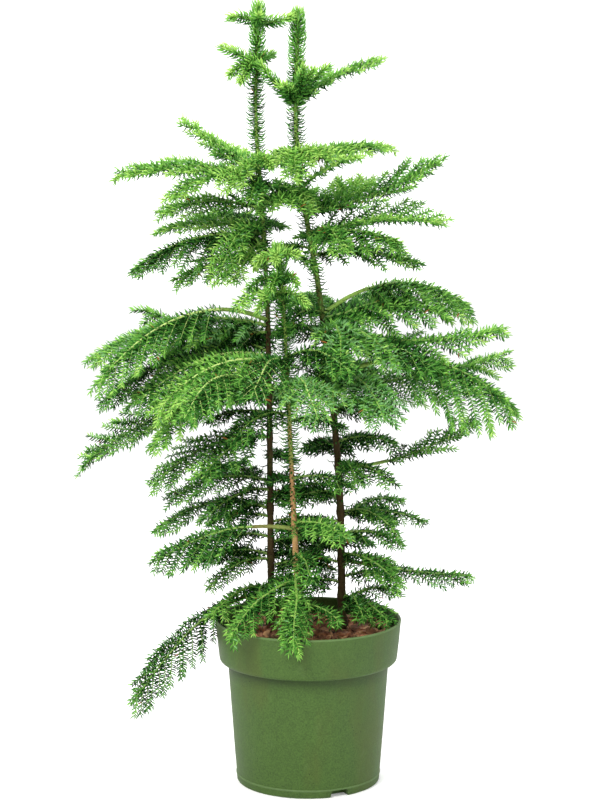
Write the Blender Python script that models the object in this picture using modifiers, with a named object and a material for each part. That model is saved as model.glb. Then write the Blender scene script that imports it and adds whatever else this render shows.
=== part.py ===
"""A potted Norfolk island pine: three young stems in one nursery pot, with tiers of feathery boughs.

Metres, +Z up. The origin is on the pot's axis, on its flat underside. -Y is the front and +X the right.
Every spray is a rachis that grows out of its stem or bough, with toothed branchlets fused on by a seeded
rule.
"""

import math
import random
from collections import namedtuple

import bmesh
import bpy
from mathutils import Matrix, Vector
from mathutils.bvhtree import BVHTree

# Driving sizes
CM = 0.01
GAP = 0.0003
SEED = 27

POT_HEIGHT = 0.240
RIM_RADIUS = 0.135
COLLAR_FOOT_HEIGHT = 0.1785
COLLAR_FOOT_RADIUS = 0.1296
BODY_TOP_RADIUS = 0.1170
FOOT_RADIUS = 0.1042
WALL = 0.0035
FLOOR = 0.004
TURN_STEPS = 32
NOTCHES = 3
NOTCH_AZIMUTH = 295.5
NOTCH_WIDTH = 0.031
NOTCH_HEIGHT = 0.0085
NOTCH_DEPTH = 0.011
SOIL_HEIGHT = 0.222

STEM_SIDES = 8
STEM_RING_STEP = 0.04
SEAT_GAP = 0.0004
SEAT_SEARCH = 0.012
SEAT_ROUNDS = 12
FLARE = 0.0035
FLARE_HEIGHT = 0.012
TWIG_SIDES = 3
SEGMENT = 3.5
BOUGH_SIDES = 6
RACHIS_TIP = 0.0013
BOUGH_EXTRA = 0.0004
STAGGER = 0.008
COLLAR_HALF_HEIGHT = 0.003
COLLAR_EXTRA = 0.0022
BLADE_THICKNESS = 0.0009
BLADE_HALF_WIDTH = 0.0085
BLADE_SLIMNESS = 0.26
NEEDLE_LENGTH = 0.014
NEEDLE_HALF_WIDTH = 0.0016
NEEDLES = 3
SHOOT_REACH = 0.075
BRANCHLET_MOST = 0.080
BRANCHLET_REACH = 0.38
BLADES_PER_CM = 0.38
MOST_BLADES = 9
LONGEST_AT = 0.4
FIRST_LENGTH = 0.62
LAST_LENGTH = 0.32
LEAST_LEAN, MOST_LEAN, TIP_LEAN = 46, 56, 14
GOLDEN_ANGLE = 137.5
YOUNG_HEIGHT = 0.74
YOUNG_DROOP = (0.02, 0.30)
OLD_DROOP = (0.35, 0.95)
FORK_OUT = 0.014
FATTEN = 0.0006
WELD = 0.000002

# Round a blade in shares of its length and half width: the root, a forward tooth, the notch above it, the tip
BLADE_OUTLINE = ((0.0, 0.09), (0.52, 1.0), (0.43, 0.42), (1.0, 0.0), (0.0, -0.09))
NEEDLE_OUTLINE = ((0.0, 0.30), (1.0, 0.0), (0.0, -0.30))

# A stem's axis passes through its leans: pairs of height and x, in centimetres, at one depth at foot and tip
Stem = namedtuple("Stem", "name leans foot_y tip_y foot_radius tip_radius")
# A spray, or a fork of one, by its azimuth in degrees and its reach, rise and arch in centimetres.
# bare is the share of the reach that is a bough of its own, and forks start a little out from the root.
Spray = namedtuple("Spray", "azimuth reach rise arch bare forks", defaults=(0.0, ()))
Fork = namedtuple("Fork", "azimuth reach rise arch")
# A tier at its height on a stem, in centimetres. A whorl is the short shoots of one young tier, in one mass.
Tier = namedtuple("Tier", "height sprays whorl", defaults=(False,))
# A mass of foliage: its first limb, its other twigs, the rachises that its branchlets grow along as
# (root point, spray, start), and what is cut from it
Mass = namedtuple("Mass", "name core twigs rachises cutter")

LEFT_LEANS = ((22, -5.4), (66, -5.8), (83, -6.6), (96, -7.45), (112, -7.1))
RIGHT_LEANS = ((22, 5.0), (45, 4.4), (70, 1.7), (91.5, -1.6), (111, -1.5))
MIDDLE_LEANS = ((22, -1.2), (40, -2.1), (70, -3.5), (78.5, -4.3))
LEFT = Stem("left", LEFT_LEANS, 0.030, 0.028, 0.0055, 0.0016)
RIGHT = Stem("right", RIGHT_LEANS, 0.030, 0.032, 0.0060, 0.0024)
MIDDLE = Stem("middle", MIDDLE_LEANS, -0.040, -0.050, 0.0050, 0.0014)

PLANT = (
    (
        LEFT,
        (
            Tier(27, (Spray(200, 21, -14.5, 4, 0.3), Spray(232, 13.5, -1.5, 1.5, 0, (Fork(262, 8, -1.5, 1),)))),
            Tier(32, (Spray(200, 9.5, -3.5, 1.5, 0, (Fork(145, 12, -1.5, 1),)),)),
            Tier(39.5, (Spray(168, 17.5, -4, 2.5, 0, (Fork(230, 7, -1.5, 1),)),)),
            Tier(43.5, (Spray(186, 14.5, -2.5, 2, 0, (Fork(130, 13, -1, 1.5),)),)),
            Tier(50, (Spray(190, 17, -6.5, 2.5, 0, (Fork(237, 14, -4, 1.5),)),)),
            Tier(56, (Spray(175, 27, -10, 3, 0, (Fork(118, 23, -3, 2.5),)), Spray(215, 20, -6.5, 4))),
            Tier(
                65.5,
                (
                    Spray(157, 19.5, 2.5, -1.5, 0, (Fork(108, 21, -2.5, 0.8),)),
                    Spray(181, 25.5, -4.5, 3),
                    Spray(205, 26, -7.5, 5, 0.3),
                ),
            ),
            Tier(
                78.5,
                (
                    Spray(190, 18.5, -3.5, 2.5),
                    Spray(163, 15.5, 0.5, 1.5, 0, (Fork(118, 13, 1.5, 1), Fork(75, 11, 0, 1))),
                    Spray(232, 10.5, -7, 3.5),
                ),
            ),
            Tier(
                87.5,
                (
                    Spray(185, 20, 0.5, 1.5, 0, (Fork(212, 13, -3, 1.5),)),
                    Spray(158, 11.5, 7, 0, 0, (Fork(110, 11, 2.2, 0), Fork(65, 11, 0, 0.5))),
                    Spray(242, 9, -3, 1.5, 0, (Fork(292, 7, 0, 1),)),
                ),
            ),
            Tier(
                104,
                (Fork(175, 5, 2, 0), Fork(212, 4.5, -2, 0.6), Fork(245, 5, -2.8, 0.6), Fork(60, 4.5, 1, 0)),
                True,
            ),
            Tier(
                109.5,
                (Fork(190, 4, 0.6, 0.3), Fork(342, 5, 0.7, -0.3), Fork(95, 4, 0.8, 0), Fork(275, 3, 0.8, 0)),
                True,
            ),
        ),
    ),
    (
        RIGHT,
        (
            Tier(26.5, (Spray(312, 10, -2.2, 1, 0, (Fork(283, 8, -1.5, 1), Fork(20, 8, 0, 1))),)),
            Tier(
                32,
                (
                    Spray(10, 19.5, -3.2, -0.4, 0.3),
                    Spray(320, 11, -3.5, 1.5),
                    Spray(75, 13, -1.5, 1.5, 0, (Fork(125, 10, 0, 1),)),
                ),
            ),
            Tier(39, (Spray(0, 12.5, -1.5, 1, 0, (Fork(318, 9, -3, 1.5), Fork(45, 11, 0, 1))),)),
            Tier(
                45.5,
                (
                    Spray(6, 20, 6.5, -1.5, 0.35),
                    Spray(312, 11, -1.5, 1, 0, (Fork(278, 9, -1.5, 1),)),
                    Spray(100, 14, -0.5, 1.5, 0, (Fork(60, 10, 1, 1),)),
                ),
            ),
            Tier(
                57.5,
                (
                    Spray(22, 28, 3.5, -1, 0, (Fork(82, 24, -0.5, 2),)),
                    Spray(345, 26, -2, 4.6, 0.35),
                    Spray(293, 19, -4, 3),
                ),
            ),
            Tier(
                65.5,
                (
                    Spray(358, 25.5, 0.5, -1.5),
                    Spray(322, 14, -5, 2, 0, (Fork(275, 14, -5, 2.5),)),
                    Spray(52, 18.5, 4, 0, 0, (Fork(100, 20, 1, 1),)),
                    Spray(20, 23, 0.5, 4, 0.3),
                ),
            ),
            Tier(79, (Spray(356, 18.5, 2.3, 1.5), Spray(332, 14.5, -1, 1, 0, (Fork(288, 11, -2, 1.5),)))),
            Tier(82.5, (Spray(10, 19, 7, -1, 0, (Fork(58, 13, 4, 0), Fork(108, 13, 1.5, 1))),)),
            Tier(
                90,
                (
                    Spray(15, 13.5, 1.8, 1, 0, (Fork(60, 11, 1.2, 0), Fork(118, 10, 0.2, 0.5))),
                    Spray(268, 10, -3, 1.5, 0, (Fork(310, 8, -0.5, 1),)),
                ),
            ),
            Tier(
                98.3,
                (
                    Fork(10, 12, 5.8, 0.8),
                    Fork(200, 5.4, 5.4, -0.5),
                    Fork(225, 3.2, 2.4, 0),
                    Fork(285, 4.5, 4.8, 0),
                    Fork(80, 5, 4, 0),
                ),
                True,
            ),
        ),
    ),
    (
        MIDDLE,
        (
            Tier(27, (Spray(262, 10.5, -1.8, 1, 0, (Fork(322, 8, -1.5, 1),)),)),
            Tier(38, (Spray(195, 20, -3.5, 2, 0.3), Spray(312, 11, -0.5, 1))),
            Tier(
                57.5,
                (
                    Spray(200, 15, -2.5, 3, 0.35, (Fork(238, 15, -3, 3),)),
                    Spray(285, 16, -2, 3, 0, (Fork(330, 9, -1.5, 1),)),
                ),
            ),
            Tier(70.5, (Spray(214, 7.8, -0.5, 2, 0, (Fork(245, 5.5, -2, 1), Fork(320, 6, -1, 1))),)),
            Tier(
                77,
                (Fork(200, 3.5, -0.8, 0.4), Fork(262, 3.6, -0.4, 0.5), Fork(335, 3, 0.4, 0.2), Fork(90, 3, 0.8, 0)),
                True,
            ),
        ),
    ),
)

COLOURS = {
    "pot_plastic": ((0.13, 0.21, 0.06, 1.0), 0.55),
    "potting_bark": ((0.16, 0.07, 0.035, 1.0), 0.95),
    "stem_bark": ((0.13, 0.075, 0.035, 1.0), 0.85),
    "bough_bark": ((0.22, 0.26, 0.07, 1.0), 0.7),
    "needles": ((0.06, 0.20, 0.05, 1.0), 0.55),
}


def clear_scene():
    for old in list(bpy.data.objects):
        bpy.data.objects.remove(old)


def material(name):
    """A Principled material with one of the plant's colours."""
    found = bpy.data.materials.get(name)
    if found:
        return found
    colour, roughness = COLOURS[name]
    made = bpy.data.materials.new(name)
    made.use_nodes = True
    shader = made.node_tree.nodes["Principled BSDF"]
    shader.inputs["Base Color"].default_value = colour
    shader.inputs["Roughness"].default_value = roughness
    shader.inputs["Metallic"].default_value = 0.0
    return made


def new_object(name, mesh, collection, finish):
    made = bpy.data.objects.new(name, mesh)
    collection.objects.link(made)
    mesh.materials.append(material(finish))
    return made


def mesh_of(shape, name):
    mesh = bpy.data.meshes.new(name)
    shape.to_mesh(mesh)
    shape.free()
    return mesh


def turned(name, profile, collection, finish):
    """A solid of revolution. The profile starts on the axis inside, and runs out and down to the axis below."""
    mesh = bpy.data.meshes.new(name)
    points = [(radius, 0.0, height) for radius, height in profile]
    mesh.from_pydata(points, [(i, i + 1) for i in range(len(points) - 1)], [])
    made = new_object(name, mesh, collection, finish)
    screw = made.modifiers.new("turn", "SCREW")
    screw.axis = "Z"
    screw.steps = TURN_STEPS
    screw.render_steps = TURN_STEPS
    screw.use_merge_vertices = True
    screw.merge_threshold = 0.00001
    return made


def inner_wall():
    """Radius and height of the pot's inside, from the floor up to the rim."""
    raised = NOTCH_HEIGHT + WALL
    step = COLLAR_FOOT_HEIGHT + 0.002
    return (
        (FOOT_RADIUS - NOTCH_DEPTH - WALL, FLOOR),
        (FOOT_RADIUS - WALL + 0.0004, raised),
        (BODY_TOP_RADIUS - WALL, step),
        (COLLAR_FOOT_RADIUS - WALL - 0.002, step + 0.002),
        (COLLAR_FOOT_RADIUS - WALL + 0.001, step + 0.008),
        (RIM_RADIUS - WALL, POT_HEIGHT - 0.003),
    )


def build_pot(collection, cutters):
    """The pot: a straight-sided cup with a stepped collar, a rounded lip and small notches round its foot."""
    outer = (
        (RIM_RADIUS - 0.0022, POT_HEIGHT),
        (RIM_RADIUS - 0.0004, POT_HEIGHT - 0.0008),
        (RIM_RADIUS, POT_HEIGHT - 0.003),
        (COLLAR_FOOT_RADIUS, COLLAR_FOOT_HEIGHT + 0.007),
        (COLLAR_FOOT_RADIUS - 0.0018, COLLAR_FOOT_HEIGHT + 0.0022),
        (COLLAR_FOOT_RADIUS - 0.0060, COLLAR_FOOT_HEIGHT),
        (BODY_TOP_RADIUS, COLLAR_FOOT_HEIGHT - 0.001),
        (FOOT_RADIUS, 0.0015),
        (FOOT_RADIUS - 0.0010, 0.0),
        (0.0, 0.0),
    )
    pot = turned("pot", ((0.0, FLOOR), *inner_wall(), *outer), collection, "pot_plastic")
    for number in range(NOTCHES):
        shape = bmesh.new()
        bmesh.ops.create_cube(shape, size=1.0)
        bmesh.ops.scale(shape, vec=(2 * NOTCH_DEPTH, NOTCH_WIDTH, 2 * NOTCH_HEIGHT), verts=shape.verts)
        top = [corner for corner in shape.verts if corner.co.z > 0]
        bmesh.ops.scale(shape, vec=(1.0, 0.72, 1.0), verts=top)
        cutter = new_object(f"foot_notch_{number + 1}", mesh_of(shape, "foot_notch"), cutters, "pot_plastic")
        turn = math.radians(NOTCH_AZIMUTH + 360 / NOTCHES * number)
        cutter.location = (FOOT_RADIUS * math.cos(turn), FOOT_RADIUS * math.sin(turn), 0.0)
        cutter.rotation_euler.z = turn
        cutter.hide_render = True
        cutter.display_type = "WIRE"
        cut = pot.modifiers.new(cutter.name, "BOOLEAN")
        cut.operation = "DIFFERENCE"
        cut.object = cutter
    return pot


def build_soil(collection):
    """Bark chips that fill the pot to just under its lip, clear of the wall and of the ledge below the collar."""
    wall = [(radius - GAP, height + GAP) for radius, height in inner_wall()]
    (lower_radius, lower), (upper_radius, upper) = wall[-2:]
    share = (SOIL_HEIGHT - lower) / (upper - lower)
    brim = (lower_radius + share * (upper_radius - lower_radius), SOIL_HEIGHT)
    profile = ((0.0, SOIL_HEIGHT), brim, *reversed(wall[:-1]), (0.0, FLOOR + GAP))
    return turned("soil", profile, collection, "potting_bark")


def ring_frame(place, along):
    """A matrix that lays a circle across the direction along, with its X as near level as it can be."""
    forward = along.normalized()
    level = Vector((0, 0, 1)).cross(forward)
    if level.length < 0.2:
        level = Vector((0, 1, 0)).cross(forward)
    level.normalize()
    return Matrix.Translation(place) @ Matrix((level, forward.cross(level), forward)).transposed().to_4x4()


def limb(path, radii, sides, ways=None):
    """A tapering limb through the path's points, as a closed bmesh. ways are the directions its rings face."""
    shape = bmesh.new()
    last = len(path) - 1
    before = []
    for index, (place, radius) in enumerate(zip(path, radii)):
        along = ways[index] if ways else path[min(index + 1, last)] - path[max(index - 1, 0)]
        ring = bmesh.ops.create_circle(
            shape,
            cap_ends=index in (0, last),
            segments=sides,
            radius=radius,
            matrix=ring_frame(place, along),
        )["verts"]
        edges = list({edge for corner in ring for edge in corner.link_edges})
        if before:
            bmesh.ops.bridge_loops(shape, edges=before + edges)
        before = edges
    bmesh.ops.recalc_face_normals(shape, faces=shape.faces)
    return shape


def smooth_through(marks, height):
    """The value at a height on a smooth curve through pairs of height and value."""
    count = len(marks)
    low = max(i for i in range(count - 1) if marks[i][0] <= max(height, marks[0][0]))
    (h1, v1), (h2, v2) = marks[low], marks[low + 1]
    h0, v0 = marks[max(low - 1, 0)]
    h3, v3 = marks[min(low + 2, count - 1)]
    slope1, slope2 = (v2 - v0) / (h2 - h0), (v3 - v1) / (h3 - h1)
    s = min(1.0, max(0.0, (height - h1) / (h2 - h1)))
    span = h2 - h1
    return (
        v1 * (1 + 2 * s) * (1 - s) ** 2
        + slope1 * span * s * (1 - s) ** 2
        + v2 * s * s * (3 - 2 * s)
        - slope2 * span * s * s * (1 - s)
    )


def stem_point(stem, height):
    """The point on a stem's axis at a height, and the stem's radius there, in metres."""
    foot, tip = stem.leans[0][0] * CM, stem.leans[-1][0] * CM
    share = (height - foot) / (tip - foot)
    x = smooth_through(stem.leans, height / CM) * CM
    y = stem.foot_y + (stem.tip_y - stem.foot_y) * share
    flare = FLARE * math.exp(-(height - SOIL_HEIGHT) / FLARE_HEIGHT)
    return Vector((x, y, height)), stem.foot_radius + (stem.tip_radius - stem.foot_radius) * share + flare


def stem_shape(stem, extra=0.0, low=None, high=None):
    """A stem, or the stretch of it between two heights, with its radius widened by extra."""
    low = SOIL_HEIGHT + GAP if low is None else low
    high = stem.leans[-1][0] * CM if high is None else high
    heights = [low] + [low + FLARE_HEIGHT * share for share in (0.5, 1.2, 2.4) if extra == 0]
    steps = max(1, round((high - heights[-1]) / STEM_RING_STEP))
    start = heights[-1]
    heights += [start + (high - start) * step / steps for step in range(1, steps + 1)]
    places = [stem_point(stem, height) for height in heights]
    path = [place for place, _ in places]
    up = [Vector((0, 0, 1))] * len(path)
    return limb(path, [radius + extra for _, radius in places], STEM_SIDES, up)


def heading(azimuth):
    turn = math.radians(azimuth)
    return Vector((math.cos(turn), math.sin(turn), 0.0))


def spray_point(root, spray, share):
    """The point at a share of a spray's reach: out level, up by the rise, and over by the arch."""
    out = heading(spray.azimuth) * spray.reach * CM * share
    up = spray.rise * CM * share + 4 * spray.arch * CM * share * (1 - share)
    return root + out + Vector((0, 0, up))


def spray_way(spray, share):
    """The direction of a spray at a share of its reach."""
    return heading(spray.azimuth) * spray.reach + Vector((0, 0, spray.rise + 4 * spray.arch * (1 - 2 * share)))


def rachis_radius(spray, share):
    """A rachis thins from its root to its tip, and a longer one is thicker."""
    root = 0.0018 + 0.00005 * spray.reach
    return root + (RACHIS_TIP - root) * share


def steps_of(spray, start, end):
    """How many straight segments stand for the curve between two shares of a spray's reach."""
    return max(2, round(spray.reach * (end - start) / SEGMENT))


def rachis_point(root, spray, start, share):
    """The point on the straight segments of a rachis, so that what is rooted there holds."""
    steps = steps_of(spray, start, 1.0)
    place = (share - start) / (1 - start) * steps
    low = min(int(place), steps - 1)
    nearer = spray_point(root, spray, start + (1 - start) * low / steps)
    further = spray_point(root, spray, start + (1 - start) * (low + 1) / steps)
    return nearer.lerp(further, place - low)


def stretch(root, spray, start, end, sides, extra=0.0):
    """The limb of a spray between two shares of its reach."""
    steps = steps_of(spray, start, end)
    shares = [start + (end - start) * step / steps for step in range(steps + 1)]
    path = [spray_point(root, spray, share) for share in shares]
    radii = [rachis_radius(spray, share) + extra for share in shares]
    return limb(path, radii, sides, [spray_way(spray, share) for share in shares])


def rachis(root, spray, start):
    """The slim central limb of a spray, from start to its tip."""
    return stretch(root, spray, start, 1.0, TWIG_SIDES)


def blade(root, along, across, length, half_width, outline, extra=0.0):
    """A flat toothed blade from its root point, as a closed bmesh. extra fattens it for a clearance test."""
    forward = along.normalized()
    side = (across - forward * across.dot(forward)).normalized()
    normal = forward.cross(side)
    thickness = BLADE_THICKNESS + 2 * extra
    points = [(a * (length + extra), b * half_width + math.copysign(extra, b)) for a, b in outline]
    shape = bmesh.new()
    corners = [shape.verts.new(root + forward * a + side * b - normal * thickness / 2) for a, b in points]
    face = shape.faces.new(corners)
    grown = bmesh.ops.extrude_face_region(shape, geom=[face])["geom"]
    moved = [part for part in grown if isinstance(part, bmesh.types.BMVert)]
    bmesh.ops.translate(shape, vec=normal * thickness, verts=moved)
    bmesh.ops.recalc_face_normals(shape, faces=shape.faces)
    return shape


def branchlet_share(share):
    """Branchlets are longest two fifths of the way out, and short at the tip."""
    if share < LONGEST_AT:
        return FIRST_LENGTH + (1 - FIRST_LENGTH) * share / LONGEST_AT
    return 1.0 - (1 - LAST_LENGTH) * ((share - LONGEST_AT) / (1 - LONGEST_AT)) ** 1.6


def spread(start, index, number):
    """The share of the reach at which one of a number of branchlets grows, clear of the root and the tip."""
    return start + (1 - start) * (0.10 + 0.86 * (index + 0.5) / number)


def branchlets(root, spray, start, chance):
    """The blades of one rachis: (root point, direction, width direction, length, half width, outline)."""
    if spray.reach * CM <= SHOOT_REACH:
        return shoot_needles(root, spray, start)
    number = max(3, min(MOST_BLADES, round(spray.reach * (1 - start) * BLADES_PER_CM)))
    longest = min(BRANCHLET_MOST, BRANCHLET_REACH * spray.reach * CM)
    droops = YOUNG_DROOP if root.z > YOUNG_HEIGHT else OLD_DROOP
    found = []
    for index in range(number):
        share = spread(start, index, number)
        ahead = spray_way(spray, share).normalized()
        side = ahead.cross(Vector((0, 0, 1))).normalized() * (1 if index % 2 else -1)
        lean = math.radians(chance.uniform(LEAST_LEAN, MOST_LEAN) - TIP_LEAN * share)
        droop = Vector((0, 0, -chance.uniform(*droops)))
        direction = ahead * math.cos(lean) + side * math.sin(lean) + droop
        length = longest * branchlet_share(share) * chance.uniform(0.9, 1.1)
        half_width = min(BLADE_HALF_WIDTH, BLADE_SLIMNESS * length)
        place = rachis_point(root, spray, start, share)
        found.append((place, direction, ahead, length, half_width, BLADE_OUTLINE))
    return found


def shoot_needles(root, shoot, start):
    """The few stout needles that stand out of a young shoot, turned round it by the golden angle."""
    found = []
    for index in range(NEEDLES):
        share = spread(start, index, NEEDLES)
        ahead = spray_way(shoot, share).normalized()
        level = ahead.cross(Vector((0, 0, 1))).normalized()
        side = Matrix.Rotation(math.radians(GOLDEN_ANGLE * index), 3, ahead) @ level
        place = rachis_point(root, shoot, start, share)
        found.append((place, ahead + side, ahead, NEEDLE_LENGTH, NEEDLE_HALF_WIDTH, NEEDLE_OUTLINE))
    return found


def box_of(shape):
    corners = [vertex.co for vertex in shape.verts]
    low = Vector([min(c[i] for c in corners) for i in range(3)])
    high = Vector([max(c[i] for c in corners) for i in range(3)])
    return low, high


class Space:
    """What is already placed, so that each node keeps to its own space."""

    def __init__(self):
        self.held = []

    def add(self, owner, shape):
        self.held.append((owner, box_of(shape), BVHTree.FromBMesh(shape)))

    def crossed(self, owner, shape):
        """The names of the other nodes that the shape would cross."""
        low, high = box_of(shape)
        tree = BVHTree.FromBMesh(shape)
        return {
            other
            for other, (lowest, highest), solid in self.held
            if other != owner
            and all(low[i] <= highest[i] and lowest[i] <= high[i] for i in range(3))
            and tree.overlap(solid)
        }

    def gap(self, owner, shape):
        """How far a limb lies from another node, which is 0 where they cross."""
        solid = next(solid for other, _, solid in self.held if other == owner)
        if BVHTree.FromBMesh(shape).overlap(solid):
            return 0.0
        tests = []
        for face in shape.faces:
            middle = face.calc_center_median()
            tests += [middle] + [corner.co for corner in face.verts]
            tests += [middle.lerp(corner.co, 0.5) for corner in face.verts]
        return min(solid.find_nearest(test)[3] for test in tests)


def biggest_body(mesh):
    """Drops loose scraps, and the walls of sealed hollows, from a fused mesh."""
    shape = bmesh.new()
    shape.from_mesh(mesh)
    left = set(shape.faces)
    bodies = []
    while left:
        body, edge = set(), [left.pop()]
        while edge:
            face = edge.pop()
            body.add(face)
            near = {other for side in face.edges for other in side.link_faces}
            near &= left
            edge += near
            left -= near
        bodies.append(body)
    bodies.sort(key=len, reverse=True)
    scraps = [face for body in bodies[1:] for face in body]
    bmesh.ops.delete(shape, geom=scraps, context="FACES")
    shape.to_mesh(mesh)
    shape.free()


def is_sound(mesh):
    """Whether each edge still has two faces once points that all but touch are made one."""
    shape = bmesh.new()
    shape.from_mesh(mesh)
    bmesh.ops.triangulate(shape, faces=shape.faces)
    bmesh.ops.remove_doubles(shape, verts=shape.verts, dist=WELD)
    sound = bool(shape.faces) and all(len(edge.link_faces) == 2 for edge in shape.edges)
    shape.free()
    return sound


def union_of(core, bits, cutter, solver):
    """The mesh of a core object with a collection's pieces fused on and the cutter taken off, applied."""
    union = core.modifiers.new("union", "BOOLEAN")
    union.operation = "UNION"
    union.operand_type = "COLLECTION"
    union.collection = bits
    union.solver = solver
    if cutter:
        cut = core.modifiers.new("clear", "BOOLEAN")
        cut.operation = "DIFFERENCE"
        cut.object = cutter
        cut.solver = solver
    bpy.context.view_layer.update()
    graph = bpy.context.evaluated_depsgraph_get()
    mesh = bpy.data.meshes.new_from_object(core.evaluated_get(graph))
    core.modifiers.clear()
    biggest_body(mesh)
    return mesh


def fuse(mass, pieces, collection, finish):
    """A mass as one node. If a union isn't sound it tries the other solver, and then one leaf fewer."""
    made = new_object(mass.name, mesh_of(mass.core, mass.name), collection, finish)
    bits = bpy.data.collections.new("bits")
    bpy.context.scene.collection.children.link(bits)
    for piece in pieces:
        new_object("bit", mesh_of(piece, "bit"), bits, finish)
    cutter = new_object("clear", mesh_of(mass.cutter, "clear"), collection, finish) if mass.cutter else None
    mesh = union_of(made, bits, cutter, "EXACT")
    while not is_sound(mesh):
        mesh = union_of(made, bits, cutter, "MANIFOLD")
        if not is_sound(mesh):
            bpy.data.objects.remove(bits.objects[-1])
            mesh = union_of(made, bits, cutter, "EXACT")
    made.data = mesh
    for helper in list(bits.objects) + [cutter] * bool(cutter):
        bpy.data.objects.remove(helper)
    bpy.data.collections.remove(bits)


def fork_root(root, spray, start):
    """Forks leave the first stretch of their spray's rachis."""
    return rachis_point(root, spray, start, start + FORK_OUT / (spray.reach * CM))


def seated_start(space, stem_name, root, spray, end, sides, extra=0.0):
    """The share of its reach at which a limb that leaves a stem stands just clear of it."""
    crossing, clear = 0.0, SEAT_SEARCH / (spray.reach * CM)
    for _ in range(SEAT_ROUNDS):
        middle = (crossing + clear) / 2
        shape = stretch(root, spray, middle, end, sides, extra)
        if space.gap(stem_name, shape) < SEAT_GAP:
            crossing = middle
        else:
            clear = middle
        shape.free()
    return clear


def keep_apart(space, name, shape, beside=()):
    """Notes where a limb lies, and stops if it crosses another node."""
    crossed = space.crossed(name, shape) - set(beside)
    if crossed:
        raise ValueError(f"{name} crosses {sorted(crossed)}")
    space.add(name, shape)


def build_stems(collection, space):
    for stem, _ in PLANT:
        name = f"{stem.name}_stem"
        shape = stem_shape(stem)
        space.add(name, shape)
        new_object(name, mesh_of(shape, name), collection, "stem_bark")


def whorl_mass(stem, level, tier, space):
    """A young tier's shoots, on a swollen ring round the stem that is cut clear of it."""
    name = f"{stem.name}_tier_{level}_shoots"
    root, radius = stem_point(stem, tier.height * CM)
    ring = [stem_point(stem, root.z + side * COLLAR_HALF_HEIGHT)[0] for side in (-1, 1)]
    core = limb(ring, [radius + COLLAR_EXTRA, radius + COLLAR_EXTRA], STEM_SIDES)
    twigs = [rachis(root, shoot, (radius + COLLAR_EXTRA / 2) / (shoot.reach * CM)) for shoot in tier.sprays]
    rachises = [(root, shoot, 2 * radius / (shoot.reach * CM)) for shoot in tier.sprays]
    highest = min(root.z + 10 * COLLAR_HALF_HEIGHT, stem.leans[-1][0] * CM + GAP)
    cutter = stem_shape(stem, GAP, root.z - 10 * COLLAR_HALF_HEIGHT, highest)
    for shape in [core, *twigs]:
        keep_apart(space, name, shape, [f"{stem.name}_stem"])
    return Mass(name, core, twigs, rachises, cutter)


def build_bough(name, stem_name, root, spray, collection, space):
    """The bare limb between a stem and where it enters its mass."""
    start = seated_start(space, stem_name, root, spray, spray.bare, BOUGH_SIDES, BOUGH_EXTRA)
    bough = stretch(root, spray, start, spray.bare, BOUGH_SIDES, BOUGH_EXTRA)
    keep_apart(space, name, bough)
    new_object(name, mesh_of(bough, name), collection, "bough_bark")


def spray_mass(stem, level, number, root, spray, collection, space):
    """A spray with its forks, past the bough that carries it where it has one."""
    name = f"{stem.name}_tier_{level}_spray_{number}"
    if spray.bare:
        build_bough(name.replace("spray", "bough"), f"{stem.name}_stem", root, spray, collection, space)
        start = spray.bare + GAP / (spray.reach * CM)
    else:
        start = seated_start(space, f"{stem.name}_stem", root, spray, 1.0, TWIG_SIDES)
    joint = fork_root(root, spray, start)
    core = rachis(root, spray, start)
    twigs = [rachis(joint, fork, 0.0) for fork in spray.forks]
    for shape in [core, *twigs]:
        keep_apart(space, name, shape)
    rachises = [(root, spray, start)] + [(joint, fork, 0.0) for fork in spray.forks]
    return Mass(name, core, twigs, rachises, None)


def plan_masses(collection, space):
    """The limbs of every mass, laid out before any branchlet so that each can keep off all of them."""
    masses = []
    for stem, tiers in PLANT:
        for level, tier in enumerate(tiers, 1):
            if tier.whorl:
                masses.append(whorl_mass(stem, level, tier, space))
                continue
            for number, spray in enumerate(tier.sprays, 1):
                root, _ = stem_point(stem, tier.height * CM + STAGGER * (number - 1))
                masses.append(spray_mass(stem, level, number, root, spray, collection, space))
    return masses


def branchlet_pieces(mass, space):
    """The branchlets of a mass, less those that would leave its space or touch another node."""
    chance = random.Random(f"{SEED} {mass.name}")
    pieces = []
    for root, spray, start in mass.rachises:
        for sizes in branchlets(root, spray, start, chance):
            test = blade(*sizes, FATTEN)
            crossed = space.crossed(mass.name, test)
            test.free()
            if crossed:
                continue
            piece = blade(*sizes)
            space.add(mass.name, piece)
            pieces.append(piece)
    return pieces


def main():
    clear_scene()
    collection = bpy.data.collections.new("norfolk_island_pine")
    cutters = bpy.data.collections.new("cutters")
    bpy.context.scene.collection.children.link(collection)
    bpy.context.scene.collection.children.link(cutters)
    space = Space()
    build_pot(collection, cutters)
    build_soil(collection)
    build_stems(collection, space)
    feet = [Vector((0, 0, height)) for height in (0, COLLAR_FOOT_HEIGHT, POT_HEIGHT)]
    pot_space = limb(feet, [FOOT_RADIUS, COLLAR_FOOT_RADIUS, RIM_RADIUS], TURN_STEPS)
    space.add("pot", pot_space)
    pot_space.free()
    for mass in plan_masses(collection, space):
        fuse(mass, mass.twigs + branchlet_pieces(mass, space), collection, "needles")


main()
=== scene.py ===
"""Looks of a potted Norfolk island pine: the pot, its potting bark, three stems and their feathery sprays.

Laid out as a Blender add-on and run as a script. It works in metres with +Z up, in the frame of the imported
model: -Y is the front and +X the right. Each spray grows by the rule of the part's source, carried on to
finer twigs and needles.
"""

import math
import random
from collections import namedtuple

import bmesh
import bpy
import numpy as np
from bpy.props import FloatProperty, FloatVectorProperty, IntProperty, PointerProperty
from bpy.types import Operator, Panel, PropertyGroup
from mathutils import Matrix, Vector, noise


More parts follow.
